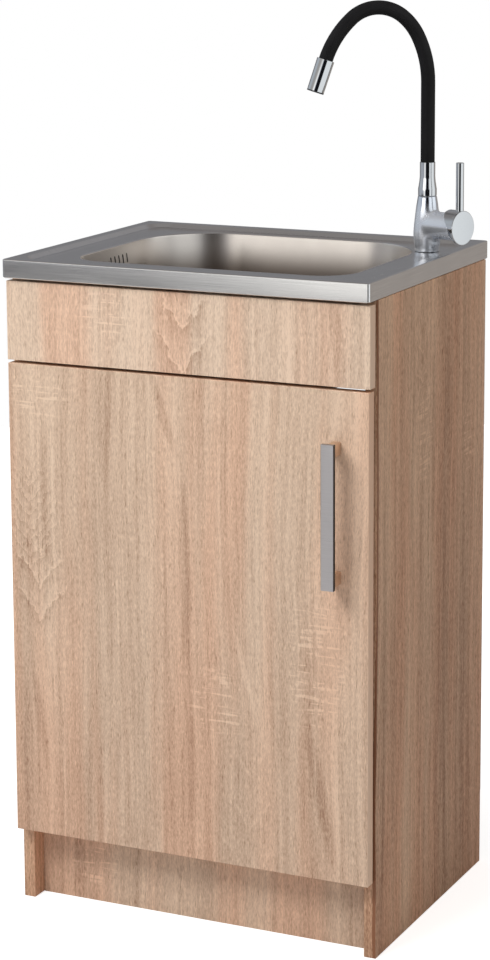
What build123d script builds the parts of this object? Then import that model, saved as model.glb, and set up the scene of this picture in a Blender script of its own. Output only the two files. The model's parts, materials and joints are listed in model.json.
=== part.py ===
from build123d import *
import os
from math import cos, radians, sin

# Kitchen sink unit: a floor cabinet with one door, a pressed-steel lay-on sink and a mixer tap.
# Millimetres. While modelling, X = 0 is the middle of the cabinet, Y = 0 the sink's front edge,
# Z = 0 the floor. Every part is then shifted so that the origin is the centre of the footprint.

# --- driving dimensions: cabinet ---
UNIT_W = 500.0
UNIT_D = 400.0
UNIT_H = 850.0
PANEL_T = 16.0
SINK_APRON_H = 24.0
CARCASS_TOP = UNIT_H - SINK_APRON_H
CARCASS_FRONT = 25.8
CARCASS_BACK = 392.0
BACK_PANEL_T = 3.0
FLOOR_BOARD_Z = 100.0
PLINTH_SETBACK = 24.0
PLINTH_H = 98.0
RAIL_H = 90.0
FRONT_FACE_Y = 7.0
DOOR_X0, DOOR_X1 = -248.0, 247.0
DOOR_Z0, DOOR_Z1 = 99.0, 717.0
DRAWER_HALF_W = 248.5
DRAWER_Z0, DRAWER_Z1 = 721.0, 822.0
SERVICE_X, SERVICE_Z0, SERVICE_Z1 = 150.0, 150.0, 650.0

# --- driving dimensions: board fixings ---
CAM_R, BOLT_R, DOWEL_R, DOWEL_PITCH = 7.5, 3.0, 4.0, 32.0
SPACER_X, SPACER_R, SPACER_INSET = 170.0, 9.0, 28.0
NAIL_Z0, NAIL_Z1, NAIL_PITCH = 150, 820, 110
CLIP_YS, CLIP_HALF_W, CLIP_T = (110.0, 345.0), 10.0, 1.5
BUMPER_R, BUMPER_T, BUMPER_INSET = 4.0, 2.4, 25.0

# --- driving dimensions: handle ---
HANDLE_X = 205.5
HANDLE_Z = 567.0
HANDLE_W, HANDLE_T, HANDLE_H = 17.0, 6.0, 180.0
HANDLE_REACH = 30.0
POST_W, POST_H, POST_PITCH = 10.0, 16.0, 160.0
HANDLE_SCREW_R, HANDLE_SCREW_L = 2.0, 28.0

# --- driving dimensions: cup hinges with one pivot each ---
HINGE_ZS = {"lower": 194.0, "upper": 622.0}
CUP_R, CUP_DEPTH, CUP_WALL = 17.5, 12.8, 0.8
CUP_X = -UNIT_W / 2 + 22.5
PIVOT_X = -UNIT_W / 2 + 9.2
PIVOT_Y = CARCASS_FRONT - 12.4
PIN_R, EYE_R, PIN_HALF = 1.25, 2.0, 9.0
ARM_T, ARM_HALF_W, ARM_X = 2.0, 5.8, -UNIT_W / 2 + 22.0
ARM_END_Y = CARCASS_FRONT + 64.0
WING_HALF, WING_SCREW = 29.0, 24.0
PLATE_Y0, PLATE_Y1, PLATE_SCREW_Y = CARCASS_FRONT + 22.0, CARCASS_FRONT + 62.0, CARCASS_FRONT + 37.0

# --- driving dimensions: sink ---
SHEET = 1.0
RIM_W, RIM_R = 15.0, 30.0
RECESS = 5.0
PLATEAU_Z = UNIT_H - RECESS
BOWL_X0, BOWL_X1, BOWL_Y0, BOWL_Y1 = -193.0, 192.0, 59.5, 368.5
BOWL_FRONT_R, BOWL_BACK_R = 50.0, 105.0
BOWL_DEPTH, BOWL_DRAFT, BOWL_FOOT_R, BOWL_LIP_R = 150.0, 7.0, 30.0, 2.5
BOWL_CX, BOWL_CY = (BOWL_X0 + BOWL_X1) / 2, (BOWL_Y0 + BOWL_Y1) / 2
BOWL_Z = PLATEAU_Z - BOWL_DEPTH
HEM_W = 14.0
WELD_Z = PLATEAU_Z - BOWL_LIP_R - 2
DRAIN_X, DRAIN_Y = BOWL_CX, BOWL_CY
DRAIN_R, DRAIN_SEAT_R, DRAIN_SEAT = 45.0, 57.0, 4.0
SLOT_W, SLOT_H, SLOT_PITCH, SLOT_COUNT = 3.0, 12.0, 11.0, 5
SLOTS_Y, SLOTS_Z = 197.0, 826.0

# --- driving dimensions: waste and trap ---
SEAT_Z = BOWL_Z - DRAIN_SEAT
PIPE_R, PIPE_SEAT_R, PIPE_BORE = 20.0, 19.7, 18.0
TRAP_TOP, TRAP_SHOULDER, TRAP_BOTTOM = 622.0, 604.0, 478.0
OUTLET_Z, OUTLET_END_Y, OUTLET_FREE = 580.0, 388.0, 90.0
OVERFLOW_R, OVERFLOW_BORE, OVERFLOW_X, OVERFLOW_BEND = 10.0, 8.0, -209.0, 60.0
BRANCH_Z = 658.0

# --- driving dimensions: tap ---
TAP_X, TAP_Y, GASKET_T = 200.0, 310.0, 1.2
TAP_BASE_R, TAP_BELLY_R, TAP_NECK_R = 16.0, 17.7, 12.0
BARREL_Z, BARREL_R, BARREL_END, BARREL_TURN = 880.0, 17.5, 48.0, 19.0
BARREL_ROOT_R, BARREL_ROOT = 16.4, 14.0
NECK_Z = 917.0
CAP_R, CAP_BORE, CAP_FACE, CAP_T, SKIRT_L = 22.0, 19.8, 60.0, 4.0, 18.0
LEVER_R, LEVER_TOP, LEVER_AT = 5.1, 83.0, 54.0
SPIGOT_R, RUN_FIT = 8.0, 0.05
FERRULE_TOP = 960.0
HOSE_R, HOSE_BORE = 9.1, 5.5
HOSE_RISE = 102.2
HOSE_ARCS = ((134.0, 26.4), (74.0, 24.0), (50.5, 82.3), (123.5, 28.7))
NOZZLE_R, NOZZLE_L = 11.0, 43.0
SPOUT_HEADING = 215.0
SHANK_R, SHANK_BOTTOM = 12.0, 796.0
INLET_R, INLET_PITCH, INLET_DEPTH = 4.6, 11.0, 14.0

# --- origin: centre of the whole footprint ---
CAP_REACH = CAP_FACE * cos(radians(BARREL_TURN)) + CAP_R * sin(radians(BARREL_TURN))
ORIGIN_X = (TAP_X + CAP_REACH - UNIT_W / 2) / 2
ORIGIN_Y = (UNIT_D + FRONT_FACE_Y - HANDLE_REACH) / 2

INNER_X = UNIT_W / 2 - PANEL_T
FRONT_BACK_Y = FRONT_FACE_Y + PANEL_T
BOTTOM_CENTRE = (Align.CENTER, Align.CENTER, Align.MIN)


def save(node, *solids):
    """Write one node, shifted to the footprint's centre."""
    shape = solids[0] if len(solids) == 1 else Compound(children=list(solids))
    export_step(Pos(-ORIGIN_X, -ORIGIN_Y, 0) * shape, f"parts/{node}.step")


def block(x0, x1, y0, y1, z0, z1):
    centre = Pos((x0 + x1) / 2, (y0 + y1) / 2, (z0 + z1) / 2)
    return centre * Box(x1 - x0, y1 - y0, z1 - z0)


def rod(start, end, radius):
    run = Vector(end) - Vector(start)
    return Plane(origin=start, z_dir=run) * Cylinder(radius, run.length, align=BOTTOM_CENTRE)


def turned(*profile):
    """Solid of revolution about Z from (radius, height) points."""
    outline = make_face(Polyline(*profile, close=True))
    return revolve(Plane.XZ * outline, Axis.Z, 360)


def ring(outer, inner, z0, z1):
    return turned((inner, z0), (outer, z0), (outer, z1), (inner, z1))


def hexagon_ring(flats, bore, z0, z1):
    nut = Pos(0, 0, z0) * extrude(RegularPolygon(flats / 2, 6, major_radius=False), z1 - z0)
    return nut - rod((0, 0, z0 - 1), (0, 0, z1 + 1), bore)


def screw(head, direction, length, shank_r, head_r, head_t):
    """Pan-head screw: head on the surface at `head`, shank running along `direction`."""
    along = Vector(direction).normalized()
    start = Vector(head)
    top = start - along * head_t
    shank = rod(start, start + along * length, shank_r)
    cap = rod(top, start, head_r)
    recess = rod(top, top + along * head_t * 0.6, head_r * 0.35)
    return shank + cap - recess


def cut(shape, tools):
    for tool in tools:
        shape = shape - tool
    return shape


def around(radius, count, shape):
    """Copies of a shape spread evenly on a circle about Z."""
    return Compound(children=[place * shape for place in PolarLocations(radius, count)])


def at_drain(shape):
    return Pos(DRAIN_X, DRAIN_Y, 0) * shape


# --- cabinet boards and their fixings ---
def cam_joints():
    """Cams, cam bolts and dowels that tie the boards between the two side panels."""
    along_y = (DOWEL_PITCH, 0)
    down_z = (0, -DOWEL_PITCH)
    rows = []
    for y in (CARCASS_FRONT + 60, CARCASS_BACK - 60):
        rows.append((y, FLOOR_BOARD_Z + PANEL_T / 2, (0, 0, 1), along_y))
    for y in (CARCASS_FRONT + PANEL_T / 2, CARCASS_BACK - PANEL_T / 2):
        inward = 1 if y < UNIT_D / 2 else -1
        rows.append((y, CARCASS_TOP - 30, (0, inward, 0), down_z))
    rows.append((CARCASS_FRONT + PLINTH_SETBACK + PANEL_T / 2, PLINTH_H - 30, (0, 1, 0), down_z))
    cams, cam_bores, bolts, dowels = [], [], [], []
    for y, z, face, dowel_step in rows:
        for side in (-1, 1):
            cam_centre = Vector(side * (INNER_X - 24), y, z)
            out = Vector(*face)
            bolt = rod((side * (INNER_X - 26), y, z), (side * (INNER_X + 10), y, z), BOLT_R)
            cam_end = cam_centre + out * PANEL_T / 2
            cam = rod(cam_centre - out * 4.5, cam_end, CAM_R)
            slot = Plane(origin=cam_end, z_dir=out) * (Box(10, 1.6, 3) + Box(1.6, 10, 3))
            cam_bores.append(cam)
            cams.append(cam - bolt - slot)
            bolts.append(bolt)
            dowel_y = y + dowel_step[0]
            dowel_z = z + dowel_step[1]
            inner_end = (side * (INNER_X - 20), dowel_y, dowel_z)
            outer_end = (side * (INNER_X + 9), dowel_y, dowel_z)
            dowels.append(rod(inner_end, outer_end, DOWEL_R))
    return cams, cam_bores, bolts, dowels


def door_screws():
    """Screws that hold the handle, from the back of the door."""
    screws = []
    for side in (-1, 1):
        head = (HANDLE_X, FRONT_BACK_Y, HANDLE_Z + side * POST_PITCH / 2)
        screws.append(screw(head, (0, -1, 0), HANDLE_SCREW_L, HANDLE_SCREW_R, 4.2, 2.2))
    return screws


def drawer_fixings():
    """Spacers and screws that hold the false drawer front on the front rail."""
    spacers, screws = [], []
    for x in (-SPACER_X, SPACER_X):
        for z in (DRAWER_Z0 + SPACER_INSET, DRAWER_Z1 - SPACER_INSET):
            body = rod((x, FRONT_BACK_Y, z), (x, CARCASS_FRONT, z), SPACER_R)
            fixing = screw((x, CARCASS_FRONT + PANEL_T, z), (0, -1, 0), 30, 2.0, 4.0, 2.4)
            spacers.append(body - fixing)
            screws.append(fixing)
    return spacers, screws


def back_nails():
    nails = []
    face = CARCASS_BACK + BACK_PANEL_T
    for z in range(NAIL_Z0, NAIL_Z1, NAIL_PITCH):
        for side in (-1, 1):
            x = side * (UNIT_W / 2 - 8)
            nails.append(screw((x, face, z), (0, -1, 0), 18, 0.8, 2.2, 0.7))
    return nails


# --- hinges ---
def hinge(z):
    """One single-pivot cup hinge: cup, pin and spring on the door, arm and plate on the cabinet."""
    mouth = FRONT_BACK_Y
    cup_axis = Plane(origin=(CUP_X, mouth, z), z_dir=(0, -1, 0), x_dir=(1, 0, 0))
    shell = Cylinder(CUP_R, CUP_DEPTH, align=BOTTOM_CENTRE)
    hollow = Cylinder(CUP_R - CUP_WALL, CUP_DEPTH - CUP_WALL, align=BOTTOM_CENTRE)
    wings = Pos(0, 0, -CUP_WALL) * extrude(RectangleRounded(17, 2 * WING_HALF, 5), CUP_WALL)
    collar = Pos(0, 0, -CUP_WALL) * Cylinder(CUP_R + 1, CUP_WALL, align=BOTTOM_CENTRE)
    mouth_cut = Pos(0, 0, -2 * CUP_WALL) * Cylinder(CUP_R - CUP_WALL, 4, align=BOTTOM_CENTRE)
    cup = cup_axis * (shell + wings + collar - mouth_cut - hollow)
    pin = rod((PIVOT_X, PIVOT_Y, z - PIN_HALF), (PIVOT_X, PIVOT_Y, z + PIN_HALF), PIN_R)
    bosses = [
        block(CUP_X - CUP_R, PIVOT_X + 3, PIVOT_Y - 2.4, PIVOT_Y + 2.6, z + low, z + high)
        for low, high in ((-PIN_HALF, -6.2), (6.2, PIN_HALF))
    ]
    limit = cup_axis * shell
    for boss in bosses:
        cup = cup + (boss & limit)
    screw_heights = [z + side * WING_SCREW for side in (-1, 1)]
    cup_screws = [
        screw((CUP_X, mouth + CUP_WALL, height), (0, -1, 0), 12, 1.6, 3.2, 1.6) for height in screw_heights
    ]
    cup = cut(cup - pin, cup_screws)
    cup_floor = mouth - CUP_DEPTH + CUP_WALL
    spring = block(PIVOT_X + 4, CUP_X + 10, cup_floor, cup_floor + 0.5, z - 4, z + 4)

    low, high = z - ARM_HALF_W, z + ARM_HALF_W
    eye = rod((PIVOT_X, PIVOT_Y, low), (PIVOT_X, PIVOT_Y, high), EYE_R)
    toe = block(PIVOT_X, ARM_X + ARM_T, PIVOT_Y - ARM_T / 2, PIVOT_Y + ARM_T / 2, low, high)
    leg = block(ARM_X, ARM_X + ARM_T, PIVOT_Y - ARM_T / 2, ARM_END_Y, low, high)
    bore = rod((PIVOT_X, PIVOT_Y, z - 10), (PIVOT_X, PIVOT_Y, z + 10), PIN_R + RUN_FIT)
    clamp_at = (ARM_X + ARM_T, PLATE_SCREW_Y + 14, z)
    arm_screw = screw(clamp_at, (-1, 0, 0), 6.5, 2.5, 4.4, 2.4)
    arm = eye + toe + leg - bore - arm_screw

    inner = -INNER_X
    saddle = block(inner, ARM_X, PLATE_Y0, PLATE_Y1, z - 8, z + 8)
    plate_wings = block(inner, inner + 2, PLATE_SCREW_Y - 8, PLATE_SCREW_Y + 8, z - 23, z + 23)
    plate_screws = [
        screw((inner + 2, PLATE_SCREW_Y, z + side * 16), (-1, 0, 0), 13, 2.2, 3.8, 2.0) for side in (-1, 1)
    ]
    plate = cut(saddle + plate_wings - arm_screw, plate_screws)
    return {
        "cup": cup, "pin": pin, "cup_screws": cup_screws, "spring": spring, "limit": limit,
        "arm": arm, "arm_screw": arm_screw, "plate": plate, "plate_screws": plate_screws,
    }


# --- sink ---
def recess_solid(grow):
    """Air above the sheet between the rim's inner edges, or that air grown by the sheet."""
    inset = RIM_W + RECESS - grow
    floor = RectangleRounded(UNIT_W - 2 * inset, UNIT_D - 2 * inset, RIM_R - RECESS + grow)
    return extrude(Pos(0, UNIT_D / 2, PLATEAU_Z - grow) * floor, RECESS + 1, taper=-45)


def bowl_solid(grow):
    """Air in the bowl, or that air grown by the sheet."""
    width = BOWL_X1 - BOWL_X0 - 2 * BOWL_LIP_R + 2 * grow
    depth = BOWL_Y1 - BOWL_Y0 - 2 * BOWL_LIP_R + 2 * grow
    mouth = Rectangle(width, depth)
    back = mouth.vertices().group_by(Axis.Y)[-1]
    mouth = fillet(back, BOWL_BACK_R - BOWL_LIP_R + grow)
    front = mouth.vertices().group_by(Axis.Y)[0]
    mouth = Pos(BOWL_CX, BOWL_CY, PLATEAU_Z) * fillet(front, BOWL_FRONT_R - BOWL_LIP_R + grow)
    well = extrude(mouth, BOWL_DEPTH + grow, dir=(0, 0, -1), taper=BOWL_DRAFT)
    foot = well.faces().sort_by(Axis.Z)[0].edges()
    well = fillet(foot, BOWL_FOOT_R + grow)
    seat = rod((DRAIN_X, DRAIN_Y, SEAT_Z - grow), (DRAIN_X, DRAIN_Y, BOWL_Z + 1), DRAIN_SEAT_R + grow)
    return well + seat


def air_solid(grow):
    """Recess and bowl joined, with the bowl's rolled lip."""
    air = recess_solid(grow) + bowl_solid(grow)
    corner_z = PLATEAU_Z - grow
    half_w = (BOWL_X1 - BOWL_X0) / 2 + 2
    half_d = (BOWL_Y1 - BOWL_Y0) / 2 + 2

    def on_lip(edge):
        box = edge.bounding_box()
        flat = abs(box.min.Z - corner_z) < 0.01 and abs(box.max.Z - corner_z) < 0.01
        centre = edge.center()
        return flat and abs(centre.X - BOWL_CX) < half_w and abs(centre.Y - BOWL_CY) < half_d

    lip = [edge for edge in air.edges() if on_lip(edge)]
    return fillet(lip, BOWL_LIP_R - grow)


def sink():
    """Deck with its apron, hem and bowl, pressed and welded from one gauge of sheet."""
    skin = block(-UNIT_W / 2, UNIT_W / 2, 0, UNIT_D, CARCASS_TOP, UNIT_H)
    skin = fillet(skin.edges().filter_by(Axis.Z), 3)
    skin = fillet(skin.faces().sort_by(Axis.Z)[-1].edges(), 1.5)
    under = block(
        -UNIT_W / 2 + SHEET, UNIT_W / 2 - SHEET, SHEET, UNIT_D - SHEET, CARCASS_TOP - 1, UNIT_H - SHEET,
    )
    outside = air_solid(SHEET)
    air = air_solid(0)
    hem = block(-UNIT_W / 2, UNIT_W / 2, 0, UNIT_D, CARCASS_TOP, CARCASS_TOP + SHEET)
    hem = fillet(hem.edges().filter_by(Axis.Z), 3)
    inside_hem = block(
        -UNIT_W / 2 + HEM_W + SHEET, UNIT_W / 2 - HEM_W - SHEET,
        HEM_W + SHEET, UNIT_D - HEM_W - SHEET, CARCASS_TOP - 1, CARCASS_TOP + 2,
    )
    below_hem = block(BOWL_X0 - 5, BOWL_X1 + 5, BOWL_Y0 - 5, BOWL_Y1 + 5, 0, UNIT_H)
    body = (skin - under) + (outside & below_hem) + (outside & skin)
    body = body + (hem - inside_hem) - air
    drain = rod((DRAIN_X, DRAIN_Y, SEAT_Z - 5), (DRAIN_X, DRAIN_Y, BOWL_Z), DRAIN_R)
    tap_hole = rod((TAP_X, TAP_Y, PLATEAU_Z - 3), (TAP_X, TAP_Y, PLATEAU_Z + 1), SHANK_R + 1)
    body = cut(body - drain - tap_hole, overflow_slots())
    welded_on = block(BOWL_X0 - 5, BOWL_X1 + 5, BOWL_Y0 - 5, BOWL_Y1 + 5, 0, WELD_Z)
    return body - welded_on, body & welded_on


def overflow_slots():
    low, high = SLOTS_Z - SLOT_H / 2, SLOTS_Z + SLOT_H / 2
    slots = []
    for index in range(SLOT_COUNT):
        y = SLOTS_Y + (index - (SLOT_COUNT - 1) / 2) * SLOT_PITCH
        slots.append(block(BOWL_X0 - 4, BOWL_X0 + 14, y - SLOT_W / 2, y + SLOT_W / 2, low, high))
    return slots


def sink_clips():
    """Hooked clips that pull the sink's hem down onto the side panels, with their screws."""
    clips, screws = [], []
    top = CARCASS_TOP + SHEET
    for side in (-1, 1):
        face = side * (INNER_X - CLIP_T)
        wall = sorted((side * INNER_X, face))
        hook = sorted((side * (INNER_X + 10), face))
        for y in CLIP_YS:
            width = (y - CLIP_HALF_W, y + CLIP_HALF_W)
            clip = block(*wall, *width, top - 32, top + CLIP_T) + block(*hook, *width, top, top + CLIP_T)
            fixing = screw((face, y, top - 20), (side, 0, 0), 14, 1.8, 3.6, 2.0)
            clips.append(clip - fixing)
            screws.append(fixing)
    return clips, screws


# --- waste, overflow and trap ---
def strainer_cup():
    """Steel outlet cup whose flange sits in the pressed seat of the bowl."""
    cup = turned(
        (0, SEAT_Z - 24), (40, SEAT_Z - 24), (43.5, SEAT_Z - 20), (43.5, SEAT_Z), (56, SEAT_Z),
        (56, SEAT_Z + 1.2), (44.5, SEAT_Z + 1.8), (42.3, SEAT_Z), (42.3, SEAT_Z - 19.4),
        (39.4, SEAT_Z - 22.8), (0, SEAT_Z - 22.8),
    )
    return cup - Pos(0, 0, SEAT_Z - 23.4) * around(27, 12, Cylinder(4.2, 6))


def waste_screw():
    head = SEAT_Z - 22.8
    screw_body = turned(
        (0, head - 24), (3, head - 24), (3, head), (6.5, head), (6.0, head + 2.6), (0, head + 2.6),
    )
    return screw_body - Pos(0, 0, head + 2.2) * Box(9, 1.4, 1.6)


def waste_body():
    """Plastic outlet under the bowl with the side branch for the overflow."""
    top = SEAT_Z - SHEET - 3
    outer = turned(
        (0, TRAP_TOP - 12), (PIPE_R, TRAP_TOP - 12), (PIPE_R, BRANCH_Z - 18), (46, BRANCH_Z - 6),
        (49, top - 3), (54, top - 3), (54, top), (0, top),
    )
    inner = turned(
        (0, TRAP_TOP - 13), (PIPE_BORE, TRAP_TOP - 13), (PIPE_BORE, BRANCH_Z - 16.5), (43.8, BRANCH_Z - 4),
        (46.6, top - 3), (46.6, top + 1), (0, top + 1),
    )
    spider = block(-44, 44, -2.5, 2.5, BRANCH_Z - 12, BRANCH_Z - 1) & inner
    hub = rod((0, 0, BRANCH_Z - 12), (0, 0, BRANCH_Z - 1), 7)
    body = (outer - inner) + spider + hub
    nipple = rod((-72, 0, BRANCH_Z + 8), (-44, 0, BRANCH_Z + 8), OVERFLOW_BORE)
    passage = rod((-73, 0, BRANCH_Z + 8), (-40, 0, BRANCH_Z + 8), OVERFLOW_BORE - 2)
    return (body + nipple) - passage - waste_screw()


def overflow_housing():
    """Moulded chamber that covers the slots from outside the bowl."""
    low, high = SLOTS_Z - 15, SLOTS_Z + 11
    outer = block(OVERFLOW_X - 13, BOWL_X0 + 16, SLOTS_Y - 34, SLOTS_Y + 34, low, high)
    outer = fillet(outer.edges().filter_by(Axis.X), 9)
    inner = block(OVERFLOW_X - 11, BOWL_X0 + 17, SLOTS_Y - 31, SLOTS_Y + 31, low + 2, high - 2)
    inner = fillet(inner.edges().filter_by(Axis.X), 7)
    nipple = rod((OVERFLOW_X, SLOTS_Y, low - 24), (OVERFLOW_X, SLOTS_Y, low + 1), OVERFLOW_BORE)
    passage = rod((OVERFLOW_X, SLOTS_Y, low - 25), (OVERFLOW_X, SLOTS_Y, low + 4), OVERFLOW_BORE - 2)
    return (outer + nipple) - inner - passage


def overflow_pipe():
    """Pipe from the overflow chamber down and across to the waste's branch."""
    start = (OVERFLOW_X, SLOTS_Y, SLOTS_Z - 17)
    turn = (OVERFLOW_X, SLOTS_Y, BRANCH_Z + 8)
    bend = (DRAIN_X - 110, DRAIN_Y, BRANCH_Z + 8)
    end = (DRAIN_X - 50, DRAIN_Y, BRANCH_Z + 8)
    route = FilletPolyline(start, turn, bend, end, radius=(OVERFLOW_BEND, 120))
    tube = sweep(Plane(origin=start, z_dir=(0, 0, -1)) * Circle(OVERFLOW_R), path=route)
    hole = sweep(Plane(origin=start, z_dir=(0, 0, -1)) * Circle(OVERFLOW_BORE), path=route)
    return tube - hole


def trap_parts():
    """Bottle trap: slip nut, head with dip tube, screwed cup, and the outlet pipe with its nut."""
    nut = ring(25, PIPE_R, TRAP_SHOULDER, TRAP_TOP)
    ribs = around(25, 12, Cylinder(1.6, TRAP_TOP - TRAP_SHOULDER))
    nut = nut + Pos(0, 0, (TRAP_TOP + TRAP_SHOULDER) / 2) * ribs - rod((0, 0, 600), (0, 0, 630), PIPE_R)
    head = turned(
        (14, 505), (16, 505), (16, TRAP_SHOULDER - 6), (31, TRAP_SHOULDER - 8), (31, 556), (34, 556),
        (34, TRAP_SHOULDER - 5), (23, TRAP_SHOULDER), (PIPE_R, TRAP_SHOULDER), (14, TRAP_SHOULDER - 3),
    )
    socket = rod((0, 30, OUTLET_Z), (0, 58, OUTLET_Z), PIPE_R + 3)
    socket_bore = rod((0, 33, OUTLET_Z), (0, 59, OUTLET_Z), PIPE_R)
    port = rod((0, 20, OUTLET_Z), (0, 34, OUTLET_Z), 15)
    dip_tube = ring(16, 14, 505, TRAP_SHOULDER - 4)
    head = head + (socket - rod((0, 0, 540), (0, 0, 610), 32.5)) - socket_bore - port + dip_tube
    cup = turned(
        (0, TRAP_BOTTOM), (22, TRAP_BOTTOM), (29, TRAP_BOTTOM + 8), (31, TRAP_BOTTOM + 60),
        (36, TRAP_BOTTOM + 62), (36, 556), (31, 556), (31, 562), (28.6, 562), (28.6, TRAP_BOTTOM + 60),
        (27, TRAP_BOTTOM + 9), (20.5, TRAP_BOTTOM + 2.2), (0, TRAP_BOTTOM + 2.2),
    )
    cup = cup + Pos(0, 0, TRAP_BOTTOM + 70) * around(36, 16, Cylinder(1.5, 14))
    cup = cup - rod((0, 0, TRAP_BOTTOM + 61), (0, 0, 570), 28.6)
    def along_y(start, end, radius):
        return rod((0, start, OUTLET_Z), (0, end, OUTLET_Z), radius)

    outlet_nut = along_y(44, 66, PIPE_R + 7) - along_y(43, 58, PIPE_R + 3) - along_y(40, 70, PIPE_R)
    pipe_end = OUTLET_END_Y - DRAIN_Y
    pipe = along_y(36, pipe_end - OUTLET_FREE, PIPE_SEAT_R)
    pipe = pipe + along_y(pipe_end - OUTLET_FREE, pipe_end, PIPE_R)
    pipe = pipe - along_y(35, pipe_end + 1, PIPE_BORE)
    return nut, head, cup, outlet_nut, pipe


def strainer_basket():
    """Lift-out basket with its knob."""
    z = SEAT_Z - 19
    basket = turned(
        (0, z), (34, z), (40, z + 5), (41.6, SEAT_Z + 2.2), (39.8, SEAT_Z + 2.2), (38.6, z + 6),
        (33, z + 1.2), (0, z + 1.2),
    )
    for radius, count in ((12, 8), (20, 14), (28, 20)):
        basket = basket - Pos(0, 0, z) * around(radius, count, Cylinder(1.9, 6))
    knob = turned(
        (0, z + 1.2), (5, z + 1.2), (4, z + 9), (4, z + 15), (11, z + 20), (11, z + 23),
        (8, z + 25), (0, z + 25),
    )
    return basket + knob


# --- tap ---
def at_tap(shape):
    return Pos(TAP_X, TAP_Y, 0) * shape


BARREL_WAY = (cos(radians(BARREL_TURN)), -sin(radians(BARREL_TURN)), 0)
BARREL_FRAME = Plane(origin=(TAP_X, TAP_Y, BARREL_Z), x_dir=(0, 0, 1), z_dir=BARREL_WAY)


def tap_body():
    """Bottle-shaped body with the side barrel for the cartridge."""
    base = PLATEAU_Z + GASKET_T
    bottle = Polyline((0, base), (TAP_BASE_R, base), (TAP_BASE_R, base + 4))
    flank = Spline(
        (TAP_BASE_R, base + 4), (17.2, 857), (TAP_BELLY_R, 866), (16.8, 881), (14.1, 904), (TAP_NECK_R, NECK_Z),
        tangents=((0.2, 1), (-0.15, 1)),
    )
    top = Polyline((TAP_NECK_R, NECK_Z), (0, NECK_Z), (0, base))
    bottle_solid = revolve(Plane.XZ * make_face(bottle.edges() + flank.edges() + top.edges()), Axis.Z, 360)
    root = Cone(BARREL_ROOT_R, BARREL_R, BARREL_ROOT, align=BOTTOM_CENTRE)
    barrel = root + Pos(0, 0, BARREL_ROOT) * Cylinder(BARREL_R, BARREL_END - BARREL_ROOT, align=BOTTOM_CENTRE)
    body = at_tap(bottle_solid) + BARREL_FRAME * barrel
    chamber = BARREL_FRAME * (Pos(0, 0, 8) * Cylinder(14, BARREL_END, align=BOTTOM_CENTRE))
    shank_seat = rod((TAP_X, TAP_Y, base - 1), (TAP_X, TAP_Y, base + 12), SHANK_R)
    water_way = rod((TAP_X, TAP_Y, 893), (TAP_X, TAP_Y, NECK_Z + 1), SPIGOT_R + RUN_FIT)
    feed = rod((TAP_X, TAP_Y, 855), (TAP_X, TAP_Y, 895), 5)
    tap_centre = Vector(TAP_X, TAP_Y, BARREL_Z)
    barrel_way = Vector(*BARREL_WAY)
    circles = body.edges().filter_by(GeomType.CIRCLE)
    end_edge = max(circles, key=lambda edge: (edge.center() - tap_centre).dot(barrel_way))
    body = fillet(end_edge, 1.0)
    return body - chamber - shank_seat - water_way - feed


def tap_shank():
    """Threaded sleeve with the two inlet threads for the supply hoses."""
    shank = rod((0, 0, SHANK_BOTTOM), (0, 0, PLATEAU_Z + GASKET_T + 12), SHANK_R)
    for side in (-1, 1):
        x = side * INLET_PITCH / 2
        shank = shank - rod((x, 0, SHANK_BOTTOM - 1), (x, 0, SHANK_BOTTOM + INLET_DEPTH), INLET_R)
        shank = shank - rod((x, 0, SHANK_BOTTOM), (x, 0, PLATEAU_Z + 14), 2.5)
    return shank


def cartridge():
    """Ceramic cartridge in the barrel, with its clamp ring, seen along the barrel."""
    body = Pos(0, 0, 20) * Cylinder(13.8, 22, align=BOTTOM_CENTRE)
    clamp = turned((9, 42), (14, 42), (14, BARREL_END - 0.6), (9, BARREL_END - 0.6))
    return BARREL_FRAME * (body + clamp)


def lever_carrier():
    """Turning core of the cartridge with the fork that carries the lever cap."""
    core = Pos(0, 0, 42.3) * Cylinder(8.9, BARREL_END - 43.3, align=BOTTOM_CENTRE)
    fork = Pos(0, 0, BARREL_END - 1) * (Box(5, 14, 6, align=BOTTOM_CENTRE) - Box(8, 7, 7, align=BOTTOM_CENTRE))
    pin_hole = Pos(0, 0, BARREL_END + 2) * Rot(90, 0, 0) * Cylinder(1.25, 20)
    return BARREL_FRAME * (core + fork - pin_hole)


def lever_cap():
    """End cap: round face, skirt that reaches back along the top only, and the stem on the fork."""
    face = Pos(0, 0, CAP_FACE - CAP_T) * Cylinder(CAP_R, CAP_T, align=BOTTOM_CENTRE)
    face = fillet(face.edges().sort_by(Axis.Z)[-1], 0.8)
    sleeve = Cylinder(CAP_R, SKIRT_L, align=BOTTOM_CENTRE) - Cylinder(CAP_BORE, SKIRT_L, align=BOTTOM_CENTRE)
    slant = Plane(origin=(-4, 0, CAP_FACE - CAP_T), z_dir=(-18, 0, -24))
    skirt = Pos(0, 0, CAP_FACE - CAP_T - SKIRT_L) * sleeve - slant * Box(120, 120, 60, align=BOTTOM_CENTRE)
    stem = Pos(0, 0, BARREL_END + 2) * Box(3.6, 6.4, CAP_FACE - CAP_T - BARREL_END - 2, align=BOTTOM_CENTRE)
    stem = stem + Pos(0, 0, BARREL_END + 2) * Rot(90, 0, 0) * Cylinder(1.8, 6.4)
    pivot = Pos(0, 0, BARREL_END + 2) * Rot(90, 0, 0) * Cylinder(1.2, 13)
    socket = Pos(CAP_BORE, 0, LEVER_AT) * Rot(0, 90, 0) * Cylinder(LEVER_R, 6, align=BOTTOM_CENTRE)
    return BARREL_FRAME * (face + skirt + stem + pivot - socket)


def lever_pin():
    length = LEVER_TOP - CAP_BORE
    pin = Cylinder(LEVER_R, length, align=BOTTOM_CENTRE)
    pin = fillet(pin.edges().sort_by(Axis.Z)[-1], 0.8)
    return BARREL_FRAME * (Pos(CAP_BORE, 0, LEVER_AT) * Rot(0, 90, 0) * pin)


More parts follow.
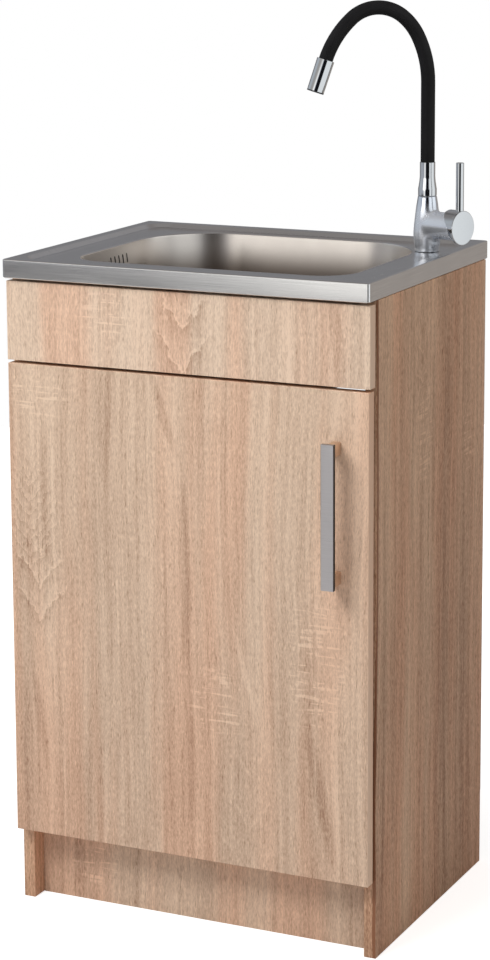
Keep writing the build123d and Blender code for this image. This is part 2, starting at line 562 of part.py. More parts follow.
def spout_ferrule():
    """Swivelling chrome sleeve under the hose, with the spigot that turns in the body."""
    gap = NECK_Z + 0.3
    sleeve = turned(
        (5, 894), (SPIGOT_R, 894), (SPIGOT_R, 900), (7, 900), (7, 903), (SPIGOT_R, 903), (SPIGOT_R, gap),
        (TAP_NECK_R, gap), (TAP_NECK_R, 926), (10.6, 933), (9.9, 941), (9.9, FERRULE_TOP),
        (HOSE_R, FERRULE_TOP), (HOSE_R, FERRULE_TOP - 12), (5, FERRULE_TOP - 12),
    )
    return at_tap(sleeve)


def spout_frame():
    way = (cos(radians(SPOUT_HEADING)), sin(radians(SPOUT_HEADING)), 0)
    return Plane(origin=(TAP_X, TAP_Y, 0), x_dir=way, z_dir=(way[1], -way[0], 0))


def hose_route():
    """Straight rise, then tangent arcs down to the nozzle, in the spout's upright plane."""
    frame = spout_frame()
    spot = Vector(0, FERRULE_TOP - 10, 0)
    heading = 90.0
    rise = Vector(0, FERRULE_TOP + HOSE_RISE, 0)
    pieces = [Line(spot, rise)]
    spot = rise
    for radius, sweep_angle in HOSE_ARCS:
        way = (cos(radians(heading)), sin(radians(heading)))
        arc = JernArc(spot, (way[0], way[1], 0), radius, -sweep_angle)
        pieces.append(arc)
        spot = arc @ 1
        heading -= sweep_angle
    way = Vector(cos(radians(heading)), sin(radians(heading)), 0)
    return frame, pieces, spot, way


def spout_hose():
    frame, pieces, spot, way = hose_route()
    start = Plane(origin=(TAP_X, TAP_Y, FERRULE_TOP - 10))
    path = Wire([frame * piece for piece in pieces + [Line(spot, spot + way * 12)]])
    outer = sweep(start * Circle(HOSE_R), path=path)
    bore = sweep(start * Circle(HOSE_BORE), path=path)
    return outer - bore


def nozzle_parts():
    """Chrome spray nozzle on the hose's end, and the aerator in its mouth."""
    frame, _, spot, way = hose_route()
    tip = frame * Plane(origin=spot, z_dir=way)
    nozzle = turned(
        (HOSE_R, 0), (NOZZLE_R - 0.2, 0), (NOZZLE_R + 0.3, 0.6), (NOZZLE_R, NOZZLE_L - 1),
        (NOZZLE_R - 0.8, NOZZLE_L), (9, NOZZLE_L), (9, NOZZLE_L - 8), (6, NOZZLE_L - 10), (6, 12),
        (HOSE_R, 12),
    )
    low, high = NOZZLE_L - 7.5, NOZZLE_L - 1
    aerator = turned((0, low), (9, low), (9, high), (8, high - 0.6), (0, high - 0.6))
    for radius, count in ((2.6, 6), (5.4, 12)):
        aerator = aerator - Pos(0, 0, NOZZLE_L - 4) * around(radius, count, Cylinder(0.7, 12))
    return tip * nozzle, tip * aerator


def build_cabinet():
    cams, cam_bores, bolts, dowels = cam_joints()
    spacers, drawer_screws = drawer_fixings()
    clips, clip_screws = sink_clips()
    nails = back_nails()
    hinges = {name: hinge(z) for name, z in HINGE_ZS.items()}
    plate_screws = [s for h in hinges.values() for s in h["plate_screws"]]
    fixings = cam_bores + bolts + dowels

    for name, side in (("left", -1), ("right", 1)):
        x0, x1 = sorted((side * INNER_X, side * UNIT_W / 2))
        panel = block(x0, x1, CARCASS_FRONT, CARCASS_BACK, 0, CARCASS_TOP)
        holes = []
        for fixing in bolts + dowels + nails + clip_screws + plate_screws:
            box = fixing.bounding_box()
            if box.min.X < x1 and box.max.X > x0:
                holes.append(fixing)
        save(f"side_panel_{name}", cut(panel, holes))

    def between(front, back, low, high):
        return block(-INNER_X, INNER_X, front, back, low, high)

    rail_z = CARCASS_TOP - RAIL_H
    plinth_y = CARCASS_FRONT + PLINTH_SETBACK
    floor_board = between(CARCASS_FRONT, CARCASS_BACK, FLOOR_BOARD_Z, FLOOR_BOARD_Z + PANEL_T)
    plinth = between(plinth_y, plinth_y + PANEL_T, 0, PLINTH_H)
    front_rail = between(CARCASS_FRONT, CARCASS_FRONT + PANEL_T, rail_z, CARCASS_TOP)
    back_rail = between(CARCASS_BACK - PANEL_T, CARCASS_BACK, rail_z, CARCASS_TOP)
    save("bottom_panel", cut(floor_board, fixings))
    save("plinth_board", cut(plinth, fixings))
    save("front_rail", cut(front_rail, fixings + drawer_screws))
    save("back_rail", cut(back_rail, fixings))
    back_face = CARCASS_BACK + BACK_PANEL_T
    back = block(1 - UNIT_W / 2, UNIT_W / 2 - 1, CARCASS_BACK, back_face, FLOOR_BOARD_Z, CARCASS_TOP - 1)
    service = block(-SERVICE_X, SERVICE_X, CARCASS_BACK - 1, back_face + 1, SERVICE_Z0, SERVICE_Z1)
    save("back_panel", cut(back - service, nails))
    save("back_panel_nails", *nails)
    save("cam_locks", *cams)
    save("cam_bolts", *bolts)
    save("dowels", *dowels)
    save("sink_clips", *clips)
    save("sink_clip_screws", *clip_screws)

    drawer = block(-DRAWER_HALF_W, DRAWER_HALF_W, FRONT_FACE_Y, FRONT_BACK_Y, DRAWER_Z0, DRAWER_Z1)
    save("drawer_front", cut(drawer, drawer_screws))
    save("drawer_front_spacers", *spacers)
    save("drawer_front_screws", *drawer_screws)

    door = block(DOOR_X0, DOOR_X1, FRONT_FACE_Y, FRONT_BACK_Y, DOOR_Z0, DOOR_Z1)
    handle_screws = door_screws()
    door = cut(door, handle_screws + [h["limit"] for h in hinges.values()])
    for name, parts in hinges.items():
        door = cut(door, parts["cup_screws"])
        save(f"hinge_cup_{name}", parts["cup"])
        save(f"hinge_pin_{name}", parts["pin"])
        save(f"hinge_arm_{name}", parts["arm"])
        save(f"hinge_plate_{name}", parts["plate"])
    save("door", door)
    save("hinge_cup_screws", *[s for h in hinges.values() for s in h["cup_screws"]])
    save("hinge_springs", *[h["spring"] for h in hinges.values()])
    save("hinge_arm_screws", *[h["arm_screw"] for h in hinges.values()])
    save("hinge_plate_screws", *plate_screws)
    bumpers = []
    bumper_x = INNER_X + PANEL_T / 2 - 1
    for z in (DOOR_Z0 + BUMPER_INSET, DOOR_Z1 - BUMPER_INSET):
        bumpers.append(rod((bumper_x, FRONT_BACK_Y, z), (bumper_x, FRONT_BACK_Y + BUMPER_T, z), BUMPER_R))
    save("door_bumpers", *bumpers)
    save("handle", handle(handle_screws))
    save("handle_screws", *handle_screws)


def handle(screws):
    """Flat bar on two posts."""
    front = FRONT_FACE_Y - HANDLE_REACH
    bar = block(
        HANDLE_X - HANDLE_W / 2, HANDLE_X + HANDLE_W / 2, front, front + HANDLE_T,
        HANDLE_Z - HANDLE_H / 2, HANDLE_Z + HANDLE_H / 2,
    )
    bar = fillet(bar.edges(), 0.8)
    for side in (-1, 1):
        z = HANDLE_Z + side * POST_PITCH / 2
        sides = (HANDLE_X - POST_W / 2, HANDLE_X + POST_W / 2)
        bar = bar + block(*sides, front + HANDLE_T - 1, FRONT_FACE_Y, z - POST_H / 2, z + POST_H / 2)
    return cut(bar, screws)


def build_sink():
    deck, bowl = sink()
    save("sink_top", deck)
    save("sink_bowl", bowl)
    save("strainer_cup", at_drain(strainer_cup() - waste_screw()))
    save("waste_screw", at_drain(waste_screw()))
    save("waste_gasket", at_drain(ring(54, 45.2, SEAT_Z - SHEET - 3, SEAT_Z - SHEET)))
    save("waste_body", at_drain(waste_body()))
    save("strainer_basket", at_drain(strainer_basket()))
    save("overflow_housing", overflow_housing() - air_solid(SHEET))
    save("overflow_pipe", overflow_pipe())
    names = ("trap_nut", "trap_head", "trap_cup", "outlet_nut", "outlet_pipe")
    for name, shape in zip(names, trap_parts()):
        save(name, at_drain(shape))


def build_tap():
    save("tap_body", tap_body())
    under_sheet = PLATEAU_Z - SHEET
    save("tap_base_ring", at_tap(ring(TAP_BASE_R, SHANK_R, PLATEAU_Z, PLATEAU_Z + GASKET_T)))
    save("tap_shank", at_tap(tap_shank()))
    save("tap_washer", at_tap(ring(16, SHANK_R, under_sheet - 2, under_sheet)))
    save("tap_nut", at_tap(hexagon_ring(30, SHANK_R, under_sheet - 12, under_sheet - 2)))
    save("cartridge", cartridge())
    save("lever_carrier", lever_carrier())
    save("lever_cap", lever_cap())
    save("lever_pin", lever_pin())
    save("spout_ferrule", spout_ferrule())
    save("spout_seal", at_tap(ring(7.95, 7, 900.2, 902.8)))
    save("spout_hose", spout_hose())
    nozzle, aerator = nozzle_parts()
    save("spout_nozzle", nozzle)
    save("aerator", aerator)


os.makedirs("parts", exist_ok=True)
build_cabinet()
build_sink()
build_tap()
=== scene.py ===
import json
from math import cos, pi, radians, sin, tan

import bmesh
import bpy
from mathutils import Matrix, Vector

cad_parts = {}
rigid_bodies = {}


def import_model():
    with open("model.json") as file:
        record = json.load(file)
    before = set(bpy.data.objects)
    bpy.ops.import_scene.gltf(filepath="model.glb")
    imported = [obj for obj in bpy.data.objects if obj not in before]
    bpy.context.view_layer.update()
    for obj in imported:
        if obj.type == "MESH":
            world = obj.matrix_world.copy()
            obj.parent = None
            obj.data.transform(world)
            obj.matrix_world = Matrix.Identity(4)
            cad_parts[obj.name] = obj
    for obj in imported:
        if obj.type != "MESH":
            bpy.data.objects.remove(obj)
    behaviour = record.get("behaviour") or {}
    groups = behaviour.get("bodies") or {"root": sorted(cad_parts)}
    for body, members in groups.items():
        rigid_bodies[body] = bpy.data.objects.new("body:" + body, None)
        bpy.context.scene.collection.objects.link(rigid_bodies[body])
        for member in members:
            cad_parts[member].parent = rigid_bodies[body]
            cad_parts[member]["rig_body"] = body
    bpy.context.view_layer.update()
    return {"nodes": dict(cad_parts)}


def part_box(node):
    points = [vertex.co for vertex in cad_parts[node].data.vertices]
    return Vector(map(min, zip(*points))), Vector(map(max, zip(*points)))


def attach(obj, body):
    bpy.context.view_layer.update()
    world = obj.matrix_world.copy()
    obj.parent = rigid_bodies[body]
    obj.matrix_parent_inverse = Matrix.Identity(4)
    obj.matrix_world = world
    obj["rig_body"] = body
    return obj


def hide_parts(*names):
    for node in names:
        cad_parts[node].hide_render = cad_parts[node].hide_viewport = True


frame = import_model()
scene = bpy.context.scene
scene.view_settings.view_transform = "Standard"

sinkLow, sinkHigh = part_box("sink_top")
frontMiddle = Vector(((sinkLow.x + sinkHigh.x) / 2, sinkLow.y, 0))  # below the middle of the sink's front edge
rimZ = sinkHigh.z


def fromFront(x, y, z):  # metres from the middle of the sink's front edge, and from the floor
    return frontMiddle + Vector((x, y, z))


# camera, first of all
view = {
    "position": (1.45668, -2.87366, 1.33799),
    "yaw": 25.473,
    "pitch": 9.791,
    "roll": -0.295,
    "lens": 100.51,
    "shiftY": -0.1608,
}


def makeCamera():
    yaw, pitch, roll = (radians(view[key]) for key in ("yaw", "pitch", "roll"))
    forward = Vector((-sin(yaw) * cos(pitch), cos(yaw) * cos(pitch), -sin(pitch)))
    level = Vector((cos(yaw), sin(yaw), 0))
    up = level.cross(forward)
    right = level * cos(roll) + up * sin(roll)
    top = up * cos(roll) - level * sin(roll)
    data = bpy.data.cameras.new("camera")
    data.sensor_width = 36
    data.lens = view["lens"]
    data.shift_y = view["shiftY"]
    data.clip_end = 50
    camera = bpy.data.objects.new("camera", data)
    turn = Matrix((right, top, -forward)).transposed().to_4x4()
    camera.matrix_world = Matrix.Translation(fromFront(*view["position"])) @ turn
    scene.collection.objects.link(camera)
    scene.camera = camera


makeCamera()
print("camera placed")


# small helpers for node materials
# values: socket name or number -> a constant, or an output to link
def feed(tree, node, values):
    for key, value in values.items():
        socket = node.inputs[key]
        if isinstance(value, bpy.types.NodeSocket):
            tree.links.new(value, socket)
        else:
            socket.default_value = value
    return node


def add(tree, kind, values=None, **settings):
    node = tree.nodes.new("ShaderNode" + kind)
    for key, value in settings.items():
        setattr(node, key, value)
    return feed(tree, node, values or {})


def math(tree, operation, first, second=0.0):
    return add(tree, "Math", {0: first, 1: second}, operation=operation).outputs[0]


def objectPlace(tree):
    return add(tree, "TexCoord").outputs["Object"]


def noise(tree, vector, scale, detail=2.0, roughness=0.5):
    values = {"Vector": vector, "Scale": scale, "Detail": detail, "Roughness": roughness}
    return add(tree, "TexNoise", values).outputs[0]


# colour ramp through (position, colour) stops; a colour may be one grey number
def steps(tree, factor, *stops):
    node = add(tree, "ValToRGB", {0: factor})
    points = node.color_ramp.elements
    while len(points) < len(stops):
        points.new(0.5)
    for point, (position, colour) in zip(points, stops):
        point.position = position
        grey = isinstance(colour, (int, float))
        point.color = (colour, colour, colour, 1) if grey else (*colour, 1)
    return node.outputs[0]


def mixColour(tree, factor, first, second, blend="MIX"):
    node = add(tree, "Mix", data_type="RGBA", blend_type=blend)
    feed(tree, node, {0: factor})
    feed(tree, node, {6: first if isinstance(first, bpy.types.NodeSocket) else (*first, 1)})
    feed(tree, node, {7: second if isinstance(second, bpy.types.NodeSocket) else (*second, 1)})
    return node.outputs[2]


def bump(tree, height, distance, strength=1.0):
    return add(tree, "Bump", {"Height": height, "Distance": distance, "Strength": strength}).outputs[0]


def newMaterial(name):
    material = bpy.data.materials.new(name)
    material.use_nodes = True
    return material, material.node_tree, material.node_tree.nodes["Principled BSDF"]


# light oak decor on the boards
# the layers are (cells across, cells along, detail, strength), cells per metre
# pores are dark dots, flecks light ones; sway bends the whole grain, wobble the flames' lines
oak = {
    "light": (0.885, 0.665, 0.500),
    "dark": (0.300, 0.150, 0.086),
    "level": 0.33,
    "layers": {
        "broad": (13, 0.55, 2, 0.58), "streak": (60, 0.9, 3, 0.66), "lines": (210, 5.5, 3, 0.66),
        "mottle": (740, 170, 2, 0.92),
    },
    "pores": 0.22, "flecks": 0.17, "sawMarks": 0.30, "sway": 0.030, "wobble": 0.045, "flameSlope": 1.25,
    "roughness": 0.50, "poreRoughness": 0.18,
    "rosy": (1.03, 0.940, 0.905), "sandy": (0.985, 1.01, 1.02),
}


def grainMap(tree, flat, acrossScale, lengthScale, detail, roughness, shift):
    spot = add(tree, "Mapping", {"Vector": flat, "Scale": (acrossScale, lengthScale, 1), "Location": (shift,) * 3})
    return noise(tree, spot.outputs[0], 1.0, detail, roughness)


def smoothStep(tree, value, low, high, start=0.0, end=1.0):
    values = {0: value, 1: low, 2: high, 3: start, 4: end}
    return add(tree, "MapRange", values, interpolation_type="SMOOTHSTEP").outputs[0]


# 1 in an oval patch of the board, 0 outside, with a soft edge
def patchMask(tree, across, length, x, z, halfWidth, halfHeight):
    sideways = math(tree, "MULTIPLY", math(tree, "SUBTRACT", across, x), 1 / halfWidth)
    upward = math(tree, "MULTIPLY", math(tree, "SUBTRACT", length, z), 1 / halfHeight)
    reach = math(tree, "ADD", math(tree, "POWER", sideways, 2.0), math(tree, "POWER", upward, 2.0))
    return smoothStep(tree, reach, 0.20, 1.15, 1.0, 0.0)


# nested V lines that point down: how much darker they make the board, lighter where negative
def flameFigure(tree, across, length, wobble, x, z, halfWidth, halfHeight, period, light, dark):
    aside = math(tree, "SUBTRACT", across, x)
    slope = math(tree, "MULTIPLY", math(tree, "ABSOLUTE", aside), oak["flameSlope"])
    rise = math(tree, "ADD", math(tree, "SUBTRACT", math(tree, "SUBTRACT", length, z), slope), wobble)
    saw = math(tree, "FRACT", math(tree, "ADD", math(tree, "MULTIPLY", rise, 1 / period), 20.0))
    mask = patchMask(tree, across, length, x, z, halfWidth, halfHeight)
    line = steps(tree, saw, (0.0, 0.7), (0.05, 1.0), (0.15, 0.0), (1.0, 0.0))
    shade = steps(tree, saw, (0.40, 0.0), (0.95, 1.0), (1.0, 0.3))
    figure = math(tree, "SUBTRACT", math(tree, "MULTIPLY", shade, dark), math(tree, "MULTIPLY", line, light))
    return math(tree, "MULTIPLY", figure, mask)


# grain runs along one axis; flames, sawPatches and veins place single features on the board, in metres
def oakMaterial(
    name, seed, along="z", flames=(), sawPatches=(), veins=(), tint=(1.0, 1.0, 1.0), shade=0.0, edge=0.0,
    contrast=1.0,
):
    material, tree, shader = newMaterial(name)
    coordinates = add(tree, "TexCoord").outputs
    place = add(tree, "Mapping", {"Vector": coordinates["Object"], "Location": -frontMiddle}).outputs[0]
    x, y, z = add(tree, "SeparateXYZ", {0: place}).outputs
    if along == "z":
        across, length = math(tree, "ADD", x, y), z
    else:
        across, length = math(tree, "ADD", y, z), x
    straight = add(tree, "CombineXYZ", {0: across, 1: length, 2: seed}).outputs[0]
    sway = math(tree, "SUBTRACT", grainMap(tree, straight, 6, 2.4, 2, 0.5, 0.0), 0.5)
    bent = math(tree, "ADD", across, math(tree, "MULTIPLY", sway, oak["sway"]))
    flat = add(tree, "CombineXYZ", {0: bent, 1: length, 2: seed}).outputs[0]

    amount = math(tree, "ADD", 0.0, oak["level"] + shade)  # 0 is the light tone, 1 the dark one
    layers = {}
    for index, (key, (acrossScale, lengthScale, detail, strength)) in enumerate(oak["layers"].items()):
        layers[key] = grainMap(tree, flat, acrossScale, lengthScale, detail, 0.6, 1.3 + 2.7 * index)
        swing = math(tree, "SUBTRACT", layers[key], 0.5)
        amount = math(tree, "ADD", amount, math(tree, "MULTIPLY", swing, strength * contrast))
    pores = smoothStep(tree, grainMap(tree, flat, 640, 75, 1, 0.5, 4.9), 0.60, 0.72)
    flecks = smoothStep(tree, grainMap(tree, flat, 600, 70, 1, 0.5, 7.3), 0.58, 0.70)
    amount = math(tree, "ADD", amount, math(tree, "MULTIPLY", pores, oak["pores"]))
    amount = math(tree, "SUBTRACT", amount, math(tree, "MULTIPLY", flecks, oak["flecks"]))

    ripple = math(tree, "SUBTRACT", grainMap(tree, straight, 60, 50, 3, 0.6, 3.3), 0.5)
    wobble = math(tree, "MULTIPLY", ripple, oak["wobble"])
    for flame in flames:
        amount = math(tree, "ADD", amount, flameFigure(tree, across, length, wobble, *flame))
    for x0, z0, x1, z1, halfWidth, strength in veins:  # a slanted streak between two points
        slant = math(tree, "MULTIPLY", math(tree, "SUBTRACT", length, (z0 + z1) / 2), (x1 - x0) / (z1 - z0))
        upright = math(tree, "SUBTRACT", bent, slant)
        vein = patchMask(tree, upright, length, (x0 + x1) / 2, (z0 + z1) / 2, halfWidth, abs(z1 - z0) / 2)
        amount = math(tree, "ADD", amount, math(tree, "MULTIPLY", vein, strength))
    if sawPatches:
        hatch = smoothStep(tree, grainMap(tree, straight, 24, 230, 1, 0.5, 6.1), 0.54, 0.66)
        broken = smoothStep(tree, grainMap(tree, straight, 160, 40, 1, 0.5, 8.8), 0.36, 0.54)
        hatch = math(tree, "MULTIPLY", hatch, broken)
    for patch in sawPatches:
        marks = math(tree, "MULTIPLY", hatch, patchMask(tree, across, length, *patch))
        amount = math(tree, "SUBTRACT", amount, math(tree, "MULTIPLY", marks, oak["sawMarks"]))
    # painted highlight: faces towards X are lightened, as if they caught the light
    if edge:  # lighter on faces towards X
        facing = math(tree, "ABSOLUTE", add(tree, "SeparateXYZ", {0: coordinates["Normal"]}).outputs[0])
        amount = math(tree, "SUBTRACT", amount, smoothStep(tree, facing, 0.2, 0.6, 0.0, edge))

    mixed = add(tree, "ValToRGB", {0: amount})
    for point, colour in zip(mixed.color_ramp.elements, (oak["light"], oak["dark"])):
        point.color = (*(c * t for c, t in zip(colour, tint)), 1)
    hue = smoothStep(tree, grainMap(tree, flat, 17, 1.1, 2, 0.5, 11.7), 0.36, 0.64)
    colour = mixColour(tree, 1.0, mixed.outputs[0], mixColour(tree, hue, oak["sandy"], oak["rosy"]), "MULTIPLY")
    relief = math(tree, "SUBTRACT", math(tree, "MULTIPLY", layers["mottle"], 0.8), pores)
    rough = math(tree, "ADD", math(tree, "MULTIPLY", pores, oak["poreRoughness"]), oak["roughness"])
    feed(tree, shader, {
        "Base Color": colour, "Roughness": rough, "Specular IOR Level": 0.35,
        "Normal": bump(tree, relief, 0.00010, 0.6),
    })
    return material


# metals
# brushed steel: lines run level on upright faces and along X on flat ones; faces towards X can be darkened, a
# painted shade
def streakedSteel(name, colour, roughness, acrossScale, relief, variation=0.10, paintedSideShade=0.0):
    material, tree, shader = newMaterial(name)
    coordinates = add(tree, "TexCoord")
    x, y, z = add(tree, "SeparateXYZ", {0: coordinates.outputs["Object"]}).outputs
    facing = add(tree, "SeparateXYZ", {0: coordinates.outputs["Normal"]}).outputs[0]
    onSide = steps(tree, math(tree, "ABSOLUTE", facing), (0.45, 0.0), (0.75, 1.0))
    onSideAcross = math(tree, "MULTIPLY", onSide, math(tree, "SUBTRACT", z, math(tree, "ADD", y, z)))
    across = math(tree, "ADD", math(tree, "ADD", y, z), onSideAcross)
    onSideLength = math(tree, "MULTIPLY", onSide, math(tree, "SUBTRACT", y, x))
    length = math(tree, "ADD", x, onSideLength)
    spot = add(tree, "CombineXYZ", {0: across, 1: length}).outputs[0]
    fineSpot = add(tree, "Mapping", {"Vector": spot, "Scale": (acrossScale, 9, 1)}).outputs[0]
    fine = noise(tree, fineSpot, 1.0, 3, 0.65)
    coarseSpot = add(tree, "Mapping", {"Vector": spot, "Scale": (60, 5, 1)}).outputs[0]
    coarse = noise(tree, coarseSpot, 1.0, 2, 0.5)
    cloud = noise(tree, coordinates.outputs["Object"], 14.0, 3, 0.6)
    dark = tuple(c * (1 - variation) for c in colour)
    light = tuple(min(1.0, c * (1 + variation)) for c in colour)
    tint = mixColour(tree, steps(tree, fine, (0.30, 0.0), (0.70, 1.0)), dark, light)
    tint = mixColour(tree, math(tree, "MULTIPLY", steps(tree, cloud, (0.35, 0.0), (0.7, 1.0)), 0.5), tint, dark)
    if paintedSideShade:
        # painted shade: the faces towards X are darkened nearly to black
        tint = mixColour(tree, math(tree, "MULTIPLY", onSide, paintedSideShade), tint, (0.02, 0.02, 0.02))
    spread = math(tree, "ADD", math(tree, "MULTIPLY", fine, 0.12), math(tree, "MULTIPLY", coarse, 0.08))
    feed(tree, shader, {
        "Base Color": tint, "Metallic": 1.0,
        "Roughness": math(tree, "ADD", spread, roughness - 0.10),
        "Normal": bump(tree, fine, relief, 0.6),
    })
    return material


# metal with a fine even grain: satin, plated or cast
# satin is (low height, high height, extra roughness and dullness below them); fade is the same with a colour,
# painted shade that darkens the metal below those heights
def grainyMetal(name, colour, roughness, scale, relief, variation=0.08, satin=None, fade=None):
    material, tree, shader = newMaterial(name)
    place = objectPlace(tree)
    grain = noise(tree, place, scale, 3, 0.6)
    cloud = noise(tree, place, scale * 0.035, 3, 0.55)
    dark = tuple(c * (1 - variation) for c in colour)
    light = tuple(min(1.0, c * (1 + variation)) for c in colour)
    tint = mixColour(tree, steps(tree, grain, (0.35, 0.0), (0.65, 1.0)), dark, light)
    tint = mixColour(tree, math(tree, "MULTIPLY", smoothStep(tree, cloud, 0.3, 0.8), 0.35), tint, dark)
    rough = math(tree, "ADD", math(tree, "MULTIPLY", cloud, 0.05), roughness - 0.025)
    metallic = 1.0
    height = add(tree, "SeparateXYZ", {0: place}).outputs[2]
    if satin:
        low, high, roughBelow, dullBelow = satin
        rough = math(tree, "ADD", rough, smoothStep(tree, height, low, high, roughBelow, 0.0))
        metallic = smoothStep(tree, height, low, high, 1.0 - dullBelow, 1.0)
    # painted shade: the colour darkens below a height
    if fade:
        low, high, below = fade
        shadedTint = mixColour(tree, 1.0, tint, below, "MULTIPLY")
        tint = mixColour(tree, smoothStep(tree, height, low, high, 1.0, 0.0), tint, shadedTint)
    feed(tree, shader, {
        "Base Color": tint, "Metallic": metallic, "Roughness": rough,
        "Normal": bump(tree, grain, relief, 0.5),
    })
    return material


# plastics, rubber, hardboard, dowel wood
def moulded(name, colour, roughness, scale=900.0, relief=0.00004, variation=0.05, specular=0.5, coat=0.0):
    material, tree, shader = newMaterial(name)
    place = objectPlace(tree)
    grain = noise(tree, place, scale, 2, 0.5)
    cloud = noise(tree, place, 22.0, 3, 0.6)
    dark = tuple(c * (1 - 2 * variation) for c in colour)
    light = tuple(min(1.0, c * (1 + variation)) for c in colour)
    tint = mixColour(tree, steps(tree, cloud, (0.3, 0.0), (0.7, 1.0)), dark, light)
    feed(tree, shader, {
        "Base Color": tint, "Specular IOR Level": specular, "Coat Weight": coat,
        "Roughness": math(tree, "ADD", math(tree, "MULTIPLY", grain, 0.14), roughness - 0.07),
        "Normal": bump(tree, grain, relief, 0.6),
    })
    return material


# painted on the inner side, bare pressed fibre on the outer side
def hardboardMaterial():
    material, tree, shader = newMaterial("hardboardSheet")
    coordinates = add(tree, "TexCoord")
    place = coordinates.outputs["Object"]
    outward = add(tree, "SeparateXYZ", {0: coordinates.outputs["Normal"]}).outputs[1]
    fibres = noise(tree, add(tree, "Mapping", {"Vector": place, "Scale": (260, 1, 120)}).outputs[0], 1.0, 4, 0.7)
    specks = noise(tree, place, 420.0, 2, 0.5)
    brown = mixColour(tree, steps(tree, fibres, (0.3, 0.0), (0.7, 1.0)), (0.20, 0.115, 0.06), (0.36, 0.225, 0.125))
    brown = mixColour(tree, steps(tree, specks, (0.6, 0.0), (0.75, 0.5)), brown, (0.11, 0.06, 0.03))
    paint = mixColour(tree, fibres, (0.70, 0.67, 0.62), (0.78, 0.75, 0.70))
    side = steps(tree, outward, (0.45, 0.0), (0.55, 1.0))
    feed(tree, shader, {
        "Base Color": mixColour(tree, side, paint, brown),
        "Roughness": math(tree, "ADD", math(tree, "MULTIPLY", fibres, 0.2), 0.5),
        "Normal": bump(tree, fibres, 0.0001, 0.6),
    })
    return material


# flames: across, height, half width, half height, spacing, light, dark
# saw patches: across, height, half width, half height
# veins: across and height of both ends, half width, strength
# painted shade: the side and inner boards are tinted warmer and darker than the fronts, as if less lit
shadedSideTint = (0.97, 0.88, 0.80)
panelLow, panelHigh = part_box("side_panel_right")
# where the painted shadow of the gap between door and side panel runs: the panel's front edge, behind the door
gapShadowAt = panelHigh.x - frontMiddle.x + panelLow.y - frontMiddle.y  # the panel's front edge, behind the door
frontOak = oakMaterial(
    # edge paints a highlight on the door's side faces
    "frontOak", 1.7, edge=0.5,
    flames=(
        (-0.214, 0.520, 0.050, 0.095, 0.018, 0.13, 0.17), (-0.200, 0.430, 0.045, 0.075, 0.043, 0.18, 0.16),
        (0.095, 0.150, 0.055, 0.150, 0.070, 0.07, 0.05),
    ),
    sawPatches=((0.186, 0.370, 0.045, 0.105), (0.052, 0.310, 0.050, 0.050), (-0.200, 0.680, 0.050, 0.035)),
    veins=(
        (0.172, 0.310, 0.206, 0.110, 0.010, 0.20), (-0.190, 0.660, -0.186, 0.440, 0.012, 0.14),
        (-0.215, 0.330, -0.195, 0.180, 0.008, 0.18), (-0.045, 0.740, 0.004, 0.600, 0.008, 0.20),
        (0.004, 0.610, 0.006, 0.330, 0.010, 0.16), (-0.112, 0.730, -0.104, 0.560, 0.009, 0.12),
        (0.072, 0.410, 0.105, 0.290, 0.005, -0.16), (0.008, 0.330, 0.000, 0.100, 0.010, 0.14),
        # broad patches paint light and shade: lighter down both sides of the door, darker towards the bottom
        (-0.170, 0.150, -0.170, 1.000, 0.110, -0.09), (0.170, 0.400, 0.170, 0.950, 0.090, -0.09),
        (0.000, -0.100, 0.000, 0.400, 0.300, 0.04),
    ),
)
drawerOak = oakMaterial(
    # edge paints a highlight on the drawer front's side faces
    "drawerOak", 4.4, edge=0.5, tint=(1.01, 1.03, 1.05), shade=-0.04,
    flames=((0.006, 0.775, 0.040, 0.085, 0.052, 0.20, 0.22),),
    sawPatches=((-0.100, 0.790, 0.045, 0.035),),
    # the second, broad patch paints light: lighter towards the drawer's right
    veins=((0.205, 0.840, 0.222, 0.700, 0.010, 0.20), (0.120, 0.600, 0.120, 1.000, 0.240, -0.06)),
)
plinthOak = oakMaterial(
    "plinthOak", 7.9, sawPatches=((-0.105, 0.055, 0.040, 0.040),),
    veins=((-0.130, 0.10, -0.125, 0.0, 0.010, 0.12),),
)
sideOak = oakMaterial(
    "sideOak", 11.3, flames=((0.420, 0.735, 0.030, 0.060, 0.040, 0.18, 0.14),),
    sawPatches=((0.430, 0.640, 0.030, 0.090), (0.584, 0.590, 0.025, 0.050)),
    veins=(
        (0.330, 0.800, 0.330, 0.100, 0.006, 0.14), (0.452, 0.780, 0.460, 0.460, 0.007, 0.20),
        # these two broad patches paint shade and light: darker towards the bottom of the side panel, lighter at
        # the top
        (0.450, -0.400, 0.450, 0.500, 3.0, 0.10), (0.450, 0.500, 0.450, 1.100, 3.0, -0.07),
        # a painted shadow: a dark line along the panel's front edge, for the gap behind the door
        (gapShadowAt - 0.001, -2.0, gapShadowAt - 0.001, 3.0, 0.0028, 0.85),
    ),
    # the tint and the extra shade are painted shade on the side away from the key light
    tint=shadedSideTint, shade=0.05, contrast=1.3,
)
innerOak = oakMaterial("innerOak", 15.1, along="x", tint=shadedSideTint)
sinkSteel = streakedSteel("sinkSteel", (0.78, 0.77, 0.765), 0.17, 1300, 0.00002)
# the bowl's lower walls and floor get painted shade
bowlSteel = grainyMetal(
    "bowlSteel", (0.82, 0.765, 0.715), 0.30, 1500, 0.000006, 0.02, fade=(0.790, 0.834, (0.34, 0.31, 0.29)),
)
# the bar's sides get painted shade
handleSteel = streakedSteel("handleSteel", (0.52, 0.50, 0.51), 0.30, 2600, 0.00002, paintedSideShade=0.95)
chrome = grainyMetal("chrome", (0.80, 0.84, 0.91), 0.07, 700, 0.000002, 0.02, (0.893, 0.912, 0.20, 0.30))
brightChrome = grainyMetal("brightChrome", (0.70, 0.715, 0.73), 0.05, 700, 0.000001, 0.02)
